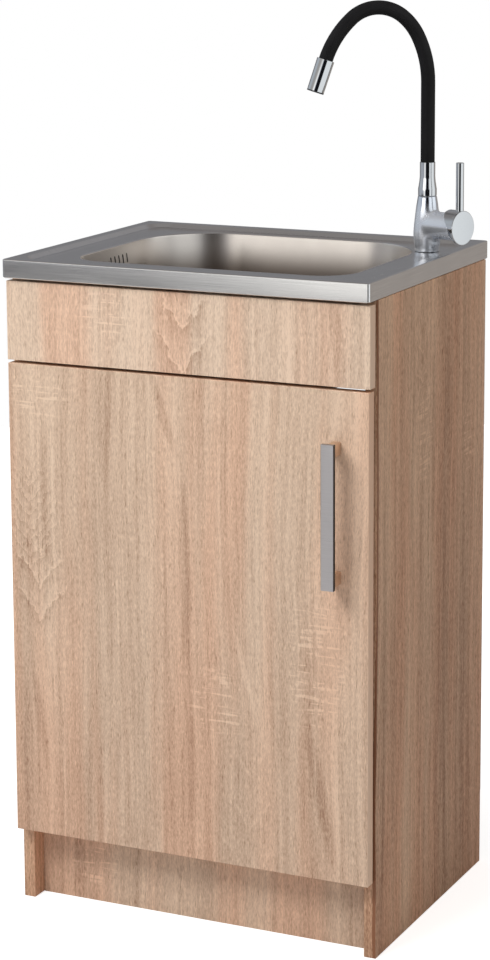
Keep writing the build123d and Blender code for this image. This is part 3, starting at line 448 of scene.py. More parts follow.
# the posts' warm colour is a painted reflection of the wooden door
postSteelPaintedReflection = grainyMetal("postSteelPaintedReflection", (0.84, 0.68, 0.55), 0.34, 1500, 0.00001, 0.05)
cupSteel = grainyMetal("cupSteel", (0.60, 0.60, 0.60), 0.20, 1200, 0.00001, 0.05)
zincPlate = grainyMetal("zincPlate", (0.58, 0.60, 0.62), 0.30, 2400, 0.00002, 0.08)
nickelPlate = grainyMetal("nickelPlate", (0.62, 0.60, 0.56), 0.22, 1800, 0.00001, 0.05)
rawBrass = grainyMetal("rawBrass", (0.66, 0.47, 0.20), 0.30, 1600, 0.00002, 0.10)
hoseRubber = moulded("hoseRubber", (0.009, 0.009, 0.010), 0.60, 1400, 0.00004, 0.2, 0.22)
sealRubber = moulded("sealRubber", (0.022, 0.022, 0.022), 0.7, 1800, 0.00005, 0.2, 0.3)
whitePlastic = moulded("whitePlastic", (0.78, 0.78, 0.76), 0.38)
greyPlastic = moulded("greyPlastic", (0.075, 0.078, 0.082), 0.42)
darkInsert = moulded("darkInsert", (0.035, 0.037, 0.04), 0.45)
bumperRubber = moulded("bumperRubber", (0.62, 0.62, 0.60), 0.35, 300, 0.00002, 0.04, 0.5, 0.3)
beechDowel = oakMaterial("beechDowel", 21.7, along="x")
hardboardSheet = hardboardMaterial()
print("materials made")


# helpers for pieces
def finishPiece(bm, name, material, body, replaced, sharpAngle=38):
    mesh = bpy.data.meshes.new(name)
    bm.to_mesh(mesh)
    bm.free()
    mesh.shade_smooth()
    mesh.set_sharp_from_angle(angle=radians(sharpAngle))
    mesh.materials.append(material)
    piece = bpy.data.objects.new(name, mesh)
    scene.collection.objects.link(piece)
    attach(piece, body)
    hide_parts(*replaced)
    return piece


def weightNormals(piece):
    modifier = piece.modifiers.new("weightedNormals", "WEIGHTED_NORMAL")
    modifier.keep_sharp = True
    return piece


# turns a piece's modifiers into plain mesh
def bakeModifiers(piece):
    graph = bpy.context.evaluated_depsgraph_get()
    mesh = bpy.data.meshes.new_from_object(piece.evaluated_get(graph))
    piece.modifiers.clear()
    piece.data = mesh


# a block between two corners, its edges rounded by edge
def boxMesh(bm, low, high, edge, segments=3):
    low, high = Vector(low), Vector(high)
    verts = bmesh.ops.create_cube(bm, size=1)["verts"]
    bmesh.ops.scale(bm, vec=high - low, verts=verts)
    bmesh.ops.translate(bm, vec=(low + high) / 2, verts=verts)
    edges = list({e for v in verts for e in v.link_edges})
    if edge:
        bmesh.ops.bevel(bm, geom=edges, offset=edge, segments=segments, profile=0.5, affect="EDGES", material=-1)


# turns a (radius, height) outline a full turn about Z, then puts it in place
def spinMesh(bm, profile, count=64, place=Matrix.Identity(4)):
    verts = [bm.verts.new((radius, 0, height)) for radius, height in profile]
    edges = [bm.edges.new(pair) for pair in zip(verts, verts[1:])]
    before = set(bm.verts) - set(verts)
    bmesh.ops.spin(
        bm, geom=verts + edges, cent=(0, 0, 0), axis=(0, 0, 1), angle=2 * pi, steps=count, use_merge=True,
    )
    made = [v for v in bm.verts if v not in before]
    bmesh.ops.remove_doubles(bm, verts=made, dist=1e-6)
    made = [v for v in bm.verts if v not in before]
    bmesh.ops.transform(bm, matrix=place, verts=made)
    bmesh.ops.recalc_face_normals(bm, faces=list({f for v in made for f in v.link_faces}))
    return made


# rounds every edge where two faces meet at more than an angle
def roundEdges(bm, offset, segments=3, sharper=40):
    edges = [e for e in bm.edges if len(e.link_faces) == 2 and e.calc_face_angle() > radians(sharper)]
    bmesh.ops.bevel(
        bm, geom=edges, offset=offset, offset_type="OFFSET", segments=segments, profile=0.5,
        affect="EDGES", material=-1, clamp_overlap=True,
    )


# a merged, smooth copy of a CAD node's mesh, for round parts
def nodeCopy(node, name, material):
    bm = bmesh.new()
    bm.from_mesh(frame["nodes"][node].data)
    bmesh.ops.remove_doubles(bm, verts=bm.verts, dist=2e-6)
    body = frame["nodes"][node]["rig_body"]
    return weightNormals(finishPiece(bm, name, material, body, [node], 32))


# gives a CAD node that is shown as it is its material
def dress(node, material):
    mesh = frame["nodes"][node].data
    mesh.materials.clear()
    mesh.materials.append(material)


# cabinet boards
boardEdge = 0.0008
boards = {
    "sidePanelLeft": ("side_panel_left", sideOak, "side_board"),
    "sidePanelRight": ("side_panel_right", sideOak, "side_board"),
    "bottomPanel": ("bottom_panel", innerOak, "side_board"),
    "plinthBoard": ("plinth_board", plinthOak, "front_board"),
    "frontRail": ("front_rail", innerOak, "side_board"),
    "backRail": ("back_rail", innerOak, "side_board"),
    "drawerFront": ("drawer_front", drawerOak, "front_board"),
}


def makeBoards():
    for name, (node, material, slot) in boards.items():
        bm = bmesh.new()
        boxMesh(bm, *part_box(node), boardEdge)
        weightNormals(finishPiece(bm, name, material, "cabinet", [node]))


# the door has the two round bores for the hinge cups in its back
hingeBore = {"radius": 0.0175, "depth": 0.0128}


def makeDoor():
    low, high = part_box("door")
    bm = bmesh.new()
    boxMesh(bm, low, high, boardEdge)
    door = finishPiece(bm, "doorBoard", frontOak, "door", ["door"])
    cutter = bmesh.new()
    for node in ("hinge_cup_lower", "hinge_cup_upper"):
        cupLow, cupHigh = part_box(node)
        middle = Vector(((cupLow.x + cupHigh.x) / 2, high.y - hingeBore["depth"], (cupLow.z + cupHigh.z) / 2))
        drum = [(0, 0), (hingeBore["radius"], 0), (hingeBore["radius"], 0.03), (0, 0.03)]
        spinMesh(cutter, drum, 64, Matrix.Translation(middle) @ Matrix.Rotation(radians(-90), 4, "X"))
    cutPiece(door, cutter)
    weightNormals(door)


def cutPiece(piece, cutter):
    mesh = bpy.data.meshes.new("cutter")
    cutter.to_mesh(mesh)
    cutter.free()
    tool = bpy.data.objects.new("cutter", mesh)
    scene.collection.objects.link(tool)
    modifier = piece.modifiers.new("cut", "BOOLEAN")
    modifier.operation = "DIFFERENCE"
    modifier.solver = "EXACT"
    modifier.object = tool
    bpy.context.view_layer.update()
    bakeModifiers(piece)
    bpy.data.objects.remove(tool)
    bpy.data.meshes.remove(mesh)


makeBoards()
makeDoor()
dress("back_panel", hardboardSheet)
print("boards made")


# handle
handleShape = {
    "barThickness": 0.006, "postWidth": 0.010, "postHeight": 0.016, "postInset": 0.010, "postOverlap": 0.0004,
    "edge": 0.0009, "postEdge": 0.0005,
}


def makeHandle():
    low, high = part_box("handle")
    bm = bmesh.new()
    boxMesh(bm, low, (high.x, low.y + handleShape["barThickness"], high.z), handleShape["edge"])
    middle = (low.x + high.x) / 2
    barBack = low.y + handleShape["barThickness"]
    halfWidth, halfHeight = handleShape["postWidth"] / 2, handleShape["postHeight"] / 2
    for centre in (low.z + handleShape["postInset"], high.z - handleShape["postInset"]):
        corner = (middle - halfWidth, barBack - handleShape["postOverlap"], centre - halfHeight)
        opposite = (middle + halfWidth, high.y, centre + halfHeight)
        boxMesh(bm, corner, opposite, handleShape["postEdge"], 2)
    handle = finishPiece(bm, "barHandle", handleSteel, "door", ["handle"])
    handle.data.materials.append(postSteelPaintedReflection)
    for face in handle.data.polygons:
        face.material_index = int(face.center.y > barBack + 0.0001)  # the posts
    weightNormals(handle)


makeHandle()
print("handle made")


# pressed sink
sinkShape = {
    "sheet": 0.001,
    "rimWidth": 0.015, "rimCorner": 0.030, "outerCorner": 0.003, "topEdge": 0.0015,
    "recess": 0.005, "bend": 0.0012,
    "hem": 0.014,
    "bowl": (-0.193, 0.192, 0.0595, 0.3685),
    "bowlCorners": (0.050, 0.105), "lip": 0.0025, "draft": 7.0, "foot": 0.030, "depth": 0.150,
    "drain": ((0.064, 0), (0.0585, 0.0006), (0.0565, 0.004), (0.045, 0.004)),  # radius, depth below the floor
    "cornerSegments": 14,
}


# a closed level loop of edges: a rectangle with round corners, radii = (front corners, back corners)
def cornerLoop(bm, x0, x1, y0, y1, radii, z):
    corners = [bm.verts.new(fromFront(x, y, z)) for x, y in ((x0, y0), (x1, y0), (x1, y1), (x0, y1))]
    bm.faces.new(corners)
    before = set(bm.verts) - set(corners)
    for pair, radius in zip((corners[:2], corners[2:]), radii):
        bmesh.ops.bevel(
            bm, geom=pair, offset=radius, segments=sinkShape["cornerSegments"], profile=0.5,
            affect="VERTICES", material=-1,
        )
    made = [v for v in bm.verts if v not in before]
    faces = list({f for v in made for f in v.link_faces})
    bmesh.ops.delete(bm, geom=faces, context="FACES_ONLY")
    return list({e for v in made for e in v.link_edges})


def circleLoop(bm, x, y, radius, z):
    count = 4 * (sinkShape["cornerSegments"] + 1)
    made = bmesh.ops.create_circle(bm, segments=count, radius=radius)["verts"]
    bmesh.ops.translate(bm, vec=fromFront(x, y, z), verts=made)
    return list({e for v in made for e in v.link_edges})


# (inward, down) points of an arc, from one angle to another, in degrees
def arcPoints(centreIn, centreDown, radius, start, end, count):
    points = []
    for index in range(count + 1):
        angle = radians(start + (end - start) * index / count)
        points.append((centreIn + radius * cos(angle), centreDown + radius * sin(angle)))
    return points


# (inset from the sink's edge, height below the rim, corner radius) from the hem to the plateau
def deckOutline():
    s = sinkShape
    low = rimZ - sinkLow.z
    rows = [(s["hem"], low, 0.002), (s["topEdge"], low, s["outerCorner"])]
    rows += [(0, low - s["topEdge"], s["outerCorner"]), (0, s["topEdge"], s["outerCorner"])]
    for inward, down in arcPoints(s["topEdge"], s["topEdge"], s["topEdge"], 180, 270, 4)[1:]:
        rows.append((inward, down, s["outerCorner"]))
    slope = s["recess"]
    rows.append((s["rimWidth"] - s["bend"], 0, s["rimCorner"] + s["bend"]))
    rows.append((s["rimWidth"] + s["bend"] * 0.25, s["bend"] * 0.25, s["rimCorner"] - s["bend"] * 0.25))
    softened = slope - s["bend"] * 0.7
    rows.append((s["rimWidth"] + softened, softened, s["rimCorner"] - softened))
    rows.append((s["rimWidth"] + slope + s["bend"], slope, s["rimCorner"] - slope - s["bend"]))
    return rows


# (inset from the bowl's mouth, depth below the plateau) from the lip down to the floor
def bowlOutline():
    s = sinkShape
    slant = radians(s["draft"])
    points = [(0, 0)]
    for angle in range(12, 85, 12):
        points.append((s["lip"] * sin(radians(angle)), s["lip"] * (1 - cos(radians(angle)))))
    points.append((s["lip"], s["lip"]))
    footTop = s["depth"] - s["foot"] * (1 - sin(slant))
    wall = s["lip"] + (footTop - s["lip"]) * tan(slant)
    points.append((wall, footTop))
    footCentre = wall + s["foot"] * cos(slant)
    for index in range(1, 9):
        angle = slant + (pi / 2 - slant) * index / 8
        down = s["depth"] - s["foot"] + s["foot"] * sin(angle)
        points.append((footCentre - s["foot"] * cos(angle), down))
    return points


def makeSink():
    s = sinkShape
    bm = bmesh.new()
    width, depth = sinkHigh.x - sinkLow.x, sinkHigh.y - sinkLow.y
    loops = []
    for inset, down, corner in deckOutline():
        loops.append(cornerLoop(
            bm, inset - width / 2, width / 2 - inset, inset, depth - inset, (corner, corner), rimZ - down,
        ))
    x0, x1, y0, y1 = s["bowl"]
    plateau = rimZ - s["recess"]
    for inset, down in bowlOutline():
        corners = [max(corner - inset, 0.012) for corner in s["bowlCorners"]]
        loops.append(cornerLoop(bm, x0 + inset, x1 - inset, y0 + inset, y1 - inset, corners, plateau - down))
    drainX, drainY = (x0 + x1) / 2, (y0 + y1) / 2
    floor = plateau - s["depth"]
    for radius, down in s["drain"]:
        loops.append(circleLoop(bm, drainX, drainY, radius, floor - down))
    for outer, inner in zip(loops, loops[1:]):
        bmesh.ops.bridge_loops(bm, edges=outer + inner)
    bmesh.ops.recalc_face_normals(bm, faces=bm.faces)
    if max(bm.faces, key=lambda f: f.calc_center_median().z).normal.z < 0:
        bmesh.ops.reverse_faces(bm, faces=bm.faces)
    sink = finishPiece(bm, "sinkSheet", sinkSteel, "cabinet", ["sink_top", "sink_bowl"], 50)
    sink.data.materials.append(bowlSteel)
    bowlLow = plateau - s["lip"] * 0.5
    for face in sink.data.polygons:
        inBowl = face.center.z < bowlLow and abs(face.center.x - frontMiddle.x - drainX) < (x1 - x0) / 2
        if inBowl and y0 < face.center.y - frontMiddle.y < y1:
            face.material_index = 1
    wall = sink.modifiers.new("sheet", "SOLIDIFY")
    wall.thickness = s["sheet"]
    wall.offset = -1
    bakeModifiers(sink)
    cutSlots(sink, x0)
    weightNormals(sink)


# y and z are the middle of the group; outward and inward are how far the cut reaches from the bowl's edge
overflow = {
    "count": 5, "width": 0.003, "height": 0.012, "pitch": 0.011, "y": 0.197, "z": 0.826, "edge": 0.0012,
    "outward": 0.004, "inward": 0.014,
}
tapHole = {"gap": 0.001, "start": 0.02, "length": 0.03}


# the overflow slots in the left wall, and the tap's hole
def cutSlots(sink, wallX):
    cutter = bmesh.new()
    halfWidth, halfHeight = overflow["width"] / 2, overflow["height"] / 2
    for index in range(overflow["count"]):
        y = overflow["y"] + (index - (overflow["count"] - 1) / 2) * overflow["pitch"]
        low = fromFront(wallX - overflow["outward"], y - halfWidth, overflow["z"] - halfHeight)
        high = fromFront(wallX + overflow["inward"], y + halfWidth, overflow["z"] + halfHeight)
        boxMesh(cutter, low, high, overflow["edge"], 3)
    shankLow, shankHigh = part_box("tap_shank")
    middle = (shankLow + shankHigh) / 2
    radius, length = (shankHigh.x - shankLow.x) / 2 + tapHole["gap"], tapHole["length"]
    spot = Matrix.Translation((middle.x, middle.y, rimZ - tapHole["start"]))
    spinMesh(cutter, [(0, 0), (radius, 0), (radius, length), (0, length)], 48, spot)
    cutPiece(sink, cutter)


makeSink()
print("sink made")


# tap
tapLow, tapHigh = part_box("tap_shank")
tapMiddle = Vector(((tapLow.x + tapHigh.x) / 2, (tapLow.y + tapHigh.y) / 2, 0))
tapPlace = Matrix.Translation(tapMiddle)
barrel = {
    "z": 0.880, "turn": 19.0, "radius": 0.0175, "length": 0.048, "rootRadius": 0.0164, "root": 0.014,
    "pinAt": 0.054, "pinRadius": 0.0051, "pinFoot": 0.0198, "pinTop": 0.083, "pinEdge": 0.0008,
}


# frame whose Z runs along the barrel and whose X points up
def barrelPlace():
    turn = radians(barrel["turn"])
    way = Vector((cos(turn), -sin(turn), 0))
    up = Vector((0, 0, 1))
    side = way.cross(up)
    place = Matrix((up, side, way)).transposed().to_4x4()
    return Matrix.Translation(tapMiddle + Vector((0, 0, barrel["z"]))) @ place


# outline of the tap's upright body: (radius, height above the floor)
bottle = [
    (0, 0.8452), (0.0158, 0.8452), (0.0160, 0.8456), (0.0160, 0.8502), (0.0168, 0.8535), (0.0172, 0.8570),
    (0.0176, 0.8615), (0.0177, 0.8660), (0.0176, 0.8710), (0.0172, 0.8765), (0.0166, 0.8825), (0.0155, 0.8930),
    (0.0141, 0.9040), (0.0129, 0.9115), (0.0122, 0.9162), (0.0118, 0.9169), (0, 0.9169),
]


# reach is how far from the joint of body and barrel the fillet goes
blend = {"voxel": 0.0006, "reach": 0.011, "passes": 260, "overall": 10}


def makeTapBody():
    bm = bmesh.new()
    spinMesh(bm, bottle, 96, tapPlace)
    radius, length = barrel["radius"], barrel["length"]
    profile = [(0, 0), (barrel["rootRadius"], 0), (radius, barrel["root"]), (radius, length), (0, length)]
    spinMesh(bm, profile, 96, barrelPlace())
    body = finishPiece(bm, "tapBody", chrome, "cabinet", ["tap_body"])
    remesh = body.modifiers.new("join", "REMESH")
    remesh.mode = "VOXEL"
    remesh.voxel_size = blend["voxel"]
    bakeModifiers(body)
    # the joint of the two round shapes is smoothed most, into a soft fillet
    joint = body.vertex_groups.new(name="joint")
    inBarrel = barrelPlace().inverted()
    for vertex in body.data.vertices:
        place = vertex.co - tapMiddle
        offBottle = abs(Vector((place.x, place.y)).length - barrel["rootRadius"])
        along = inBarrel @ vertex.co
        offBarrel = abs(Vector((along.x, along.y)).length - radius)
        weight = 1 - max(offBottle, offBarrel) / blend["reach"]
        if weight > 0 and along.z > 0.002:
            joint.add([vertex.index], min(1.0, 1.6 * weight), "REPLACE")
    fillet = body.modifiers.new("fillet", "SMOOTH")
    fillet.factor = 0.5
    fillet.iterations = blend["passes"]
    fillet.vertex_group = "joint"
    smooth = body.modifiers.new("blend", "SMOOTH")
    smooth.factor = 0.5
    smooth.iterations = blend["overall"]
    bakeModifiers(body)
    body.data.shade_smooth()


# neck is (radius, height above the joint)
ferrule = {
    "joint": 0.9173, "spigot": 0.008, "spigotLength": 0.004, "collar": 0.0085,
    "neck": ((0.0113, 0.0125), (0.0104, 0.0185), (0.0099, 0.0245)), "bore": 0.0091, "boreDepth": 0.010,
    "edge": 0.0003,
}


def makeFerrule():
    low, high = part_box("spout_ferrule")
    top, ring = high.z, (high.x - low.x) / 2
    joint, spigot, bore = ferrule["joint"], ferrule["spigot"], ferrule["bore"]
    profile = [(spigot, joint - ferrule["spigotLength"]), (spigot, joint), (ring, joint)]
    profile += [(radius, joint + rise) for radius, rise in ((ring, ferrule["collar"]), *ferrule["neck"])]
    profile += [(ferrule["neck"][-1][0], top), (bore, top), (bore, top - ferrule["boreDepth"])]
    bm = bmesh.new()
    spinMesh(bm, profile, 96, tapPlace)
    roundEdges(bm, ferrule["edge"], 2)
    weightNormals(finishPiece(bm, "spoutFerrule", brightChrome, "spout", ["spout_ferrule"]))


# the round end cap, its skirt that reaches back over the barrel's top, and the stem that holds it
# face is the distance from the tap's axis; the skirt is cut off by a slanted plane
cap = {
    "radius": 0.022, "face": 0.060, "plate": 0.004, "edge": 0.0009, "bore": 0.0198, "skirt": 0.022,
    "skirtTop": 0.0035, "cutAt": -0.004, "cutWay": (-18, 0, -24), "stem": (0.0018, 0.0032), "stemGap": 0.001,
    "stemEdge": 0.0003,
}


def makeCap():
    radius, face, bore, plate = (cap[key] for key in ("radius", "face", "bore", "plate"))
    skirtEnd, skirtTop = face - cap["skirt"], face - cap["skirtTop"]
    bm = bmesh.new()
    spinMesh(bm, [(0, face - plate), (radius, face - plate), (radius, face), (0, face)], 96)
    roundEdges(bm, cap["edge"], 3)
    skirt = bmesh.new()
    ends = ((bore, skirtEnd), (radius, skirtEnd), (radius, skirtTop), (bore, skirtTop), (bore, skirtEnd))
    spinMesh(skirt, ends, 96)
    parts = skirt.verts[:] + skirt.edges[:] + skirt.faces[:]
    cutAt = Vector((cap["cutAt"], 0, face - plate))
    bmesh.ops.bisect_plane(skirt, geom=parts, plane_co=cutAt, plane_no=cap["cutWay"], clear_outer=True)
    rims = [e for e in skirt.edges if len(e.link_faces) == 1]
    bmesh.ops.holes_fill(skirt, edges=rims, sides=0)
    scrap = bpy.data.meshes.new("skirt")
    skirt.to_mesh(scrap)
    skirt.free()
    bm.from_mesh(scrap)
    bpy.data.meshes.remove(scrap)
    halfX, halfY = cap["stem"]
    stemStart = barrel["length"] + cap["stemGap"]
    boxMesh(bm, (-halfX, -halfY, stemStart), (halfX, halfY, skirtTop), cap["stemEdge"], 2)
    bmesh.ops.transform(bm, matrix=barrelPlace(), verts=bm.verts)
    bmesh.ops.recalc_face_normals(bm, faces=bm.faces)
    weightNormals(finishPiece(bm, "leverCap", brightChrome, "lever", ["lever_cap"]))


def makePin():
    foot, top, radius = barrel["pinFoot"], barrel["pinTop"], barrel["pinRadius"]
    profile = [(0, foot), (radius, foot), (radius, top), (0, top)]
    bm = bmesh.new()
    upright = barrelPlace() @ Matrix.Translation((0, 0, barrel["pinAt"])) @ Matrix.Rotation(radians(90), 4, "Y")
    spinMesh(bm, profile, 48, upright)
    roundEdges(bm, barrel["pinEdge"], 4)
    weightNormals(finishPiece(bm, "leverPin", brightChrome, "lever", ["lever_pin"]))


# the flat rubber ring under the tap, hidden inside the body's foot
baseRing = {"bore": 0.0122, "radius": 0.0150}


def makeBaseRing():
    low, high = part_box("tap_base_ring")
    inner, outer = baseRing["bore"], baseRing["radius"]
    bm = bmesh.new()
    spinMesh(bm, [(inner, low.z), (outer, low.z), (outer, high.z), (inner, high.z), (inner, low.z)], 64, tapPlace)
    weightNormals(finishPiece(bm, "tapBaseRing", sealRubber, "cabinet", ["tap_base_ring"]))


makeTapBody()
makeBaseRing()
makeFerrule()
makeCap()
makePin()

# the hose rises straight, then bends through arcs (radius, degrees); heading is the way it bends, in degrees
spout = {
    "radius": 0.0091, "start": 0.950, "bendsFrom": 1.0622, "heading": 215.0,
    "arcs": ((0.134, 26.4), (0.074, 24.0), (0.0505, 82.3), (0.1235, 28.7)), "intoNozzle": 0.012,
    "nozzle": 0.043, "nozzleRadius": 0.011, "rim": 0.0018, "nozzleBore": 0.0092, "socket": 0.013,
    "mouth": 0.0091, "mouthDepth": 0.008, "passage": 0.006, "passageFrom": 0.010,
    "nozzleFlare": 0.0003, "nozzleEdge": 0.0004,
}


def makeHose():
    heading = radians(spout["heading"])
    outward = Vector((cos(heading), sin(heading), 0))
    axis = Vector((0, 0, 1)).cross(outward)
    bm = bmesh.new()
    ring = bmesh.ops.create_circle(bm, segments=40, radius=spout["radius"])["verts"]
    bmesh.ops.translate(bm, vec=tapMiddle + Vector((0, 0, spout["start"])), verts=ring)
    end = list({e for v in ring for e in v.link_edges})
    riser = spout["bendsFrom"] - spout["start"]
    for _ in range(6):
        end = extrudeRing(bm, end, Vector((0, 0, riser / 6)))
    tip = tapMiddle + Vector((0, 0, spout["bendsFrom"]))
    way = Vector((0, 0, 1))
    for radius, angle in spout["arcs"]:
        toCentre = axis.cross(way)
        centre = tip + toCentre * radius
        end = bmesh.ops.spin(
            bm, geom=end, cent=centre, axis=axis, angle=radians(angle), steps=max(8, int(angle / 3)),
        )["geom_last"]
        end = [item for item in end if isinstance(item, bmesh.types.BMEdge)]
        turn = Matrix.Rotation(radians(angle), 3, axis)
        tip = centre + turn @ (tip - centre)
        way = turn @ way
    extrudeRing(bm, end, way * spout["intoNozzle"])
    bmesh.ops.holes_fill(bm, edges=[e for e in bm.edges if e.is_boundary], sides=0)
    bmesh.ops.recalc_face_normals(bm, faces=bm.faces)
    finishPiece(bm, "spoutHose", hoseRubber, "spout", ["spout_hose"])
    return tip, way


def extrudeRing(bm, edges, step):
    made = bmesh.ops.extrude_edge_only(bm, edges=edges)["geom"]
    verts = [item for item in made if isinstance(item, bmesh.types.BMVert)]
    bmesh.ops.translate(bm, vec=step, verts=verts)
    return [item for item in made if isinstance(item, bmesh.types.BMEdge) and all(v in verts for v in item.verts)]


def makeNozzle(tip, way):
    side = way.orthogonal().normalized()
    place = Matrix.Translation(tip) @ Matrix((side, way.cross(side), way)).transposed().to_4x4()
    radius, length = spout["nozzleRadius"], spout["nozzle"]
    bore, socket, mouth, passage = (spout[key] for key in ("nozzleBore", "socket", "mouth", "passage"))
    profile = [
        (bore, 0), (radius + spout["nozzleFlare"], 0), (radius, length - spout["rim"]), (radius, length),
        (mouth, length), (mouth, length - spout["mouthDepth"]), (passage, length - spout["passageFrom"]),
        (passage, socket), (bore, socket), (bore, 0),
    ]
    bm = bmesh.new()
    spinMesh(bm, profile, 72, place)
    roundEdges(bm, spout["nozzleEdge"], 2)
    nozzle = finishPiece(bm, "spoutNozzle", brightChrome, "spout", ["spout_nozzle"])
    nozzle.data.materials.append(darkInsert)
    inverse = place.inverted()
    for face in nozzle.data.polygons:  # a dark rim round the mouth
        face.material_index = int((inverse @ face.center).z > length - spout["rim"])
    weightNormals(nozzle)


hoseTip, hoseWay = makeHose()
makeNozzle(hoseTip, hoseWay)
nodeCopy("aerator", "aeratorInsert", darkInsert)
nodeCopy("tap_shank", "tapShank", rawBrass)
nodeCopy("tap_nut", "tapNut", rawBrass)
nodeCopy("tap_washer", "tapWasher", zincPlate)
nodeCopy("spout_seal", "spoutSeal", sealRubber)
nodeCopy("cartridge", "tapCartridge", whitePlastic)
nodeCopy("lever_carrier", "leverCarrier", whitePlastic)
print("tap made")


# round CAD parts, shown as smooth copies
roundParts = {
    "strainerCup": ("strainer_cup", cupSteel, "polished_cup"),
    "strainerBasket": ("strainer_basket", cupSteel, "polished_cup"),
    "wasteScrew": ("waste_screw", cupSteel, "polished_cup"),
    "wasteGasket": ("waste_gasket", sealRubber, "seal_rubber"),
    "wasteBody": ("waste_body", whitePlastic, "white_plastic"),
    "overflowHousing": ("overflow_housing", greyPlastic, "grey_plastic"),
    "overflowPipe": ("overflow_pipe", greyPlastic, "grey_plastic"),
    "trapNut": ("trap_nut", greyPlastic, "grey_plastic"),
    "trapHead": ("trap_head", whitePlastic, "white_plastic"),
    "trapCup": ("trap_cup", whitePlastic, "white_plastic"),
    "outletNut": ("outlet_nut", greyPlastic, "grey_plastic"),
    "outletPipe": ("outlet_pipe", whitePlastic, "white_plastic"),
    "drawerSpacers": ("drawer_front_spacers", greyPlastic, "grey_plastic"),
    "doorBumpers": ("door_bumpers", bumperRubber, "clear_bumper"),
    "beechDowels": ("dowels", beechDowel, "hardwood"),
}
for hingeSide in ("lower", "upper"):
    title = hingeSide.capitalize()
    roundParts[f"hingeCup{title}"] = (f"hinge_cup_{hingeSide}", nickelPlate, "nickel")
    roundParts[f"hingeArm{title}"] = (f"hinge_arm_{hingeSide}", nickelPlate, "nickel")
    roundParts[f"hingePlate{title}"] = (f"hinge_plate_{hingeSide}", nickelPlate, "nickel")
    roundParts[f"hingePin{title}"] = (f"hinge_pin_{hingeSide}", zincPlate, "zinc")
zincNodes = (
    "back_panel_nails", "cam_locks", "cam_bolts", "sink_clips", "sink_clip_screws", "drawer_front_screws",
    "hinge_arm_screws", "hinge_plate_screws", "handle_screws", "hinge_cup_screws", "hinge_springs",
)
for zincNode in zincNodes:
    first, *rest = zincNode.split("_")
    roundParts[first + "".join(word.capitalize() for word in rest)] = (zincNode, zincPlate, "zinc")
for pieceName, (cadNode, finish, slotName) in roundParts.items():
    nodeCopy(cadNode, pieceName, finish)
print("small parts dressed")


# floor, lights and surroundings
studio = {
    "floorRadius": 3.0, "floorColour": (0.78, 0.78, 0.78), "glowNear": 0.72, "glowFar": 1.0,
    "glowSpan": (0.3, 1.3), "ambient": 0.265, "skyLow": (0.44, 0.46, 0.51), "skyHigh": (0.24, 0.225, 0.22),
    "skySpan": (0.1, 0.85),
}
# place and target in metres from the sink's front edge, width and height, watts, colour
lights = {
    "keyLight": ((-0.75, -1.75, 2.45), (0, 0.1, 0.85), (1.3, 1.1), 48, (1.0, 0.985, 0.965)),
    "topLight": ((0.1, -0.1, 2.6), (0, 0.2, 0.8), (1.4, 1.2), 10, (1, 1, 1)),
    "warmLight": ((1.7, -0.2, 2.0), (0.2, 0.2, 0.85), (1.0, 1.0), 5.0, (1.0, 0.70, 0.48)),
}
# what polished parts mirror: azimuth, half width, softness (degrees), low and high end, softness (sine), colour
reflections = {
    "back": (115, 60, 30, -0.4, 0.45, 0.20, (0.215, 0.215, 0.225)),
    "right": (72, 30, 12, -0.6, 0.40, 0.20, (0.355, 0.325, 0.30)),
    "rightFront": (-6, 42, 8, -0.6, 0.60, 0.15, (0.94, 0.97, 0.98)),
    "left": (-172, 22, 10, -0.05, 0.60, 0.20, (0.50, 0.54, 0.58)),
    "frontBox": (-108.5, 7.5, 3, -0.45, 0.60, 0.06, (1.25, 1.24, 1.20)),
    "frontHigh": (-118, 30, 6, 0.22, 0.75, 0.08, (0.42, 0.41, 0.40)),
    "bowlGlow": (-110, 17, 5, -0.03, 0.20, 0.03, (1.85, 1.82, 1.76)),
    "frontDark": (-133, 17, 3, -0.6, -0.11, 0.03, (0.155, 0.155, 0.16)),
    "cameraSide": (-68, 25, 1.5, -1.0, 0.0, 0.02, (0.008, 0.008, 0.010)),
    "cameraHigh": (-68, 16, 2, -0.02, 0.72, 0.02, (0.008, 0.008, 0.010)),
    "ceiling": (0, 181, 1, 0.90, 1.3, 0.06, (0.28, 0.27, 0.265)),
}


def makeFloor():
    bm = bmesh.new()
    bmesh.ops.create_circle(bm, cap_ends=True, segments=96, radius=studio["floorRadius"])
    mesh = bpy.data.meshes.new("studioFloor")
    bm.to_mesh(mesh)
    bm.free()
    floor = bpy.data.objects.new("studioFloor", mesh)
    scene.collection.objects.link(floor)
    material, tree, shader = newMaterial("floorPaint")
    place = objectPlace(tree)
    tint = noise(tree, place, 3.0, 2)
    colour = mixColour(tree, tint, studio["floorColour"], tuple(c * 1.02 for c in studio["floorColour"]))
    feed(tree, shader, {"Base Color": colour, "Roughness": 0.9, "Specular IOR Level": 0.1})
    rays = add(tree, "LightPath")
    seen = math(tree, "MAXIMUM", rays.outputs["Is Camera Ray"], rays.outputs["Is Transmission Ray"])
    away = add(tree, "VectorMath", {0: place}, operation="LENGTH").outputs["Value"]
    glow = smoothStep(tree, away, *studio["glowSpan"], studio["glowNear"], studio["glowFar"])
    feed(tree, shader, {"Emission Color": (1, 1, 1, 1), "Emission Strength": math(tree, "MULTIPLY", seen, glow)})
    mesh.materials.append(material)


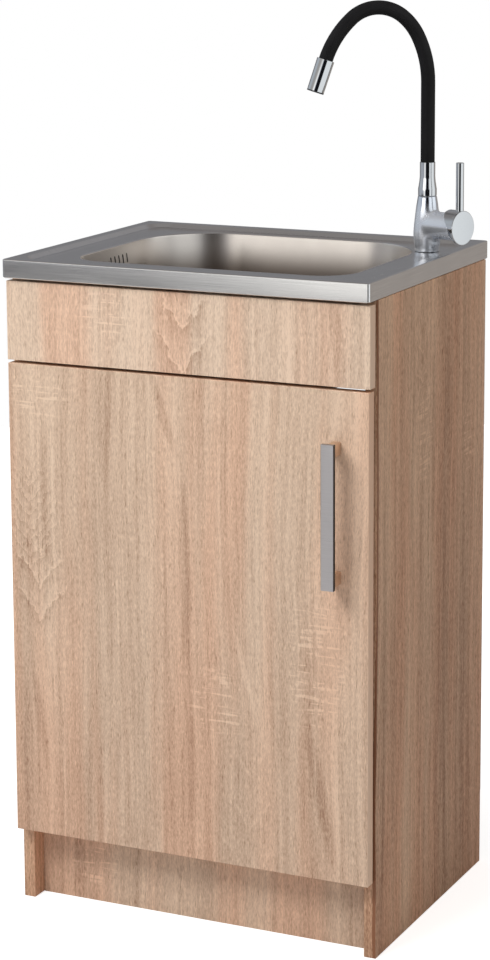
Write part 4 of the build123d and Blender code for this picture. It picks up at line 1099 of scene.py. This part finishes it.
def makeWorld():
    world = bpy.data.worlds.new("studioWorld")
    scene.world = world
    world.use_nodes = True
    tree = world.node_tree
    background = tree.nodes["Background"]
    x, y, z = add(tree, "SeparateXYZ", {0: add(tree, "TexCoord").outputs["Generated"]}).outputs
    level = math(tree, "SQRT", math(tree, "ADD", math(tree, "MULTIPLY", x, x), math(tree, "MULTIPLY", y, y)))
    level = math(tree, "MAXIMUM", level, 0.001)
    colour = mixColour(tree, smoothStep(tree, z, *studio["skySpan"]), studio["skyLow"], studio["skyHigh"])
    for azimuth, half, soft, low, high, zSoft, tone in reflections.values():
        towards = radians(azimuth)
        dot = math(tree, "ADD", math(tree, "MULTIPLY", x, cos(towards)), math(tree, "MULTIPLY", y, sin(towards)))
        off = math(tree, "ARCCOSINE", math(tree, "MINIMUM", math(tree, "DIVIDE", dot, level), 1.0))
        inside = smoothStep(tree, off, radians(half - soft), radians(half + soft), 1.0, 0.0)
        above = smoothStep(tree, z, low - zSoft, low + zSoft)
        below = smoothStep(tree, z, high - zSoft, high + zSoft, 1.0, 0.0)
        mask = math(tree, "MULTIPLY", math(tree, "MULTIPLY", inside, above), below)
        colour = mixColour(tree, mask, colour, tone)
    rays = add(tree, "LightPath")
    ambient = (studio["ambient"],) * 3
    plain = mixColour(tree, rays.outputs["Is Glossy Ray"], ambient, colour)
    seen = math(tree, "MAXIMUM", rays.outputs["Is Camera Ray"], rays.outputs["Is Transmission Ray"])
    feed(tree, background, {"Color": mixColour(tree, seen, plain, (1.0, 1.0, 1.0)), "Strength": 1.0})


def softLight(name, place, target, size, power, tint):
    data = bpy.data.lights.new(name, "AREA")
    data.shape = "RECTANGLE"
    data.size, data.size_y = size
    data.energy = power
    data.color = tint
    lamp = bpy.data.objects.new(name, data)
    lamp.visible_glossy = False
    spot = fromFront(*place)
    turn = (fromFront(*target) - spot).to_track_quat("-Z", "Y").to_matrix().to_4x4()
    lamp.matrix_world = Matrix.Translation(spot) @ turn
    scene.collection.objects.link(lamp)


makeFloor()
makeWorld()
for lampName, settings in lights.items():
    softLight(lampName, *settings)
print("studio made")
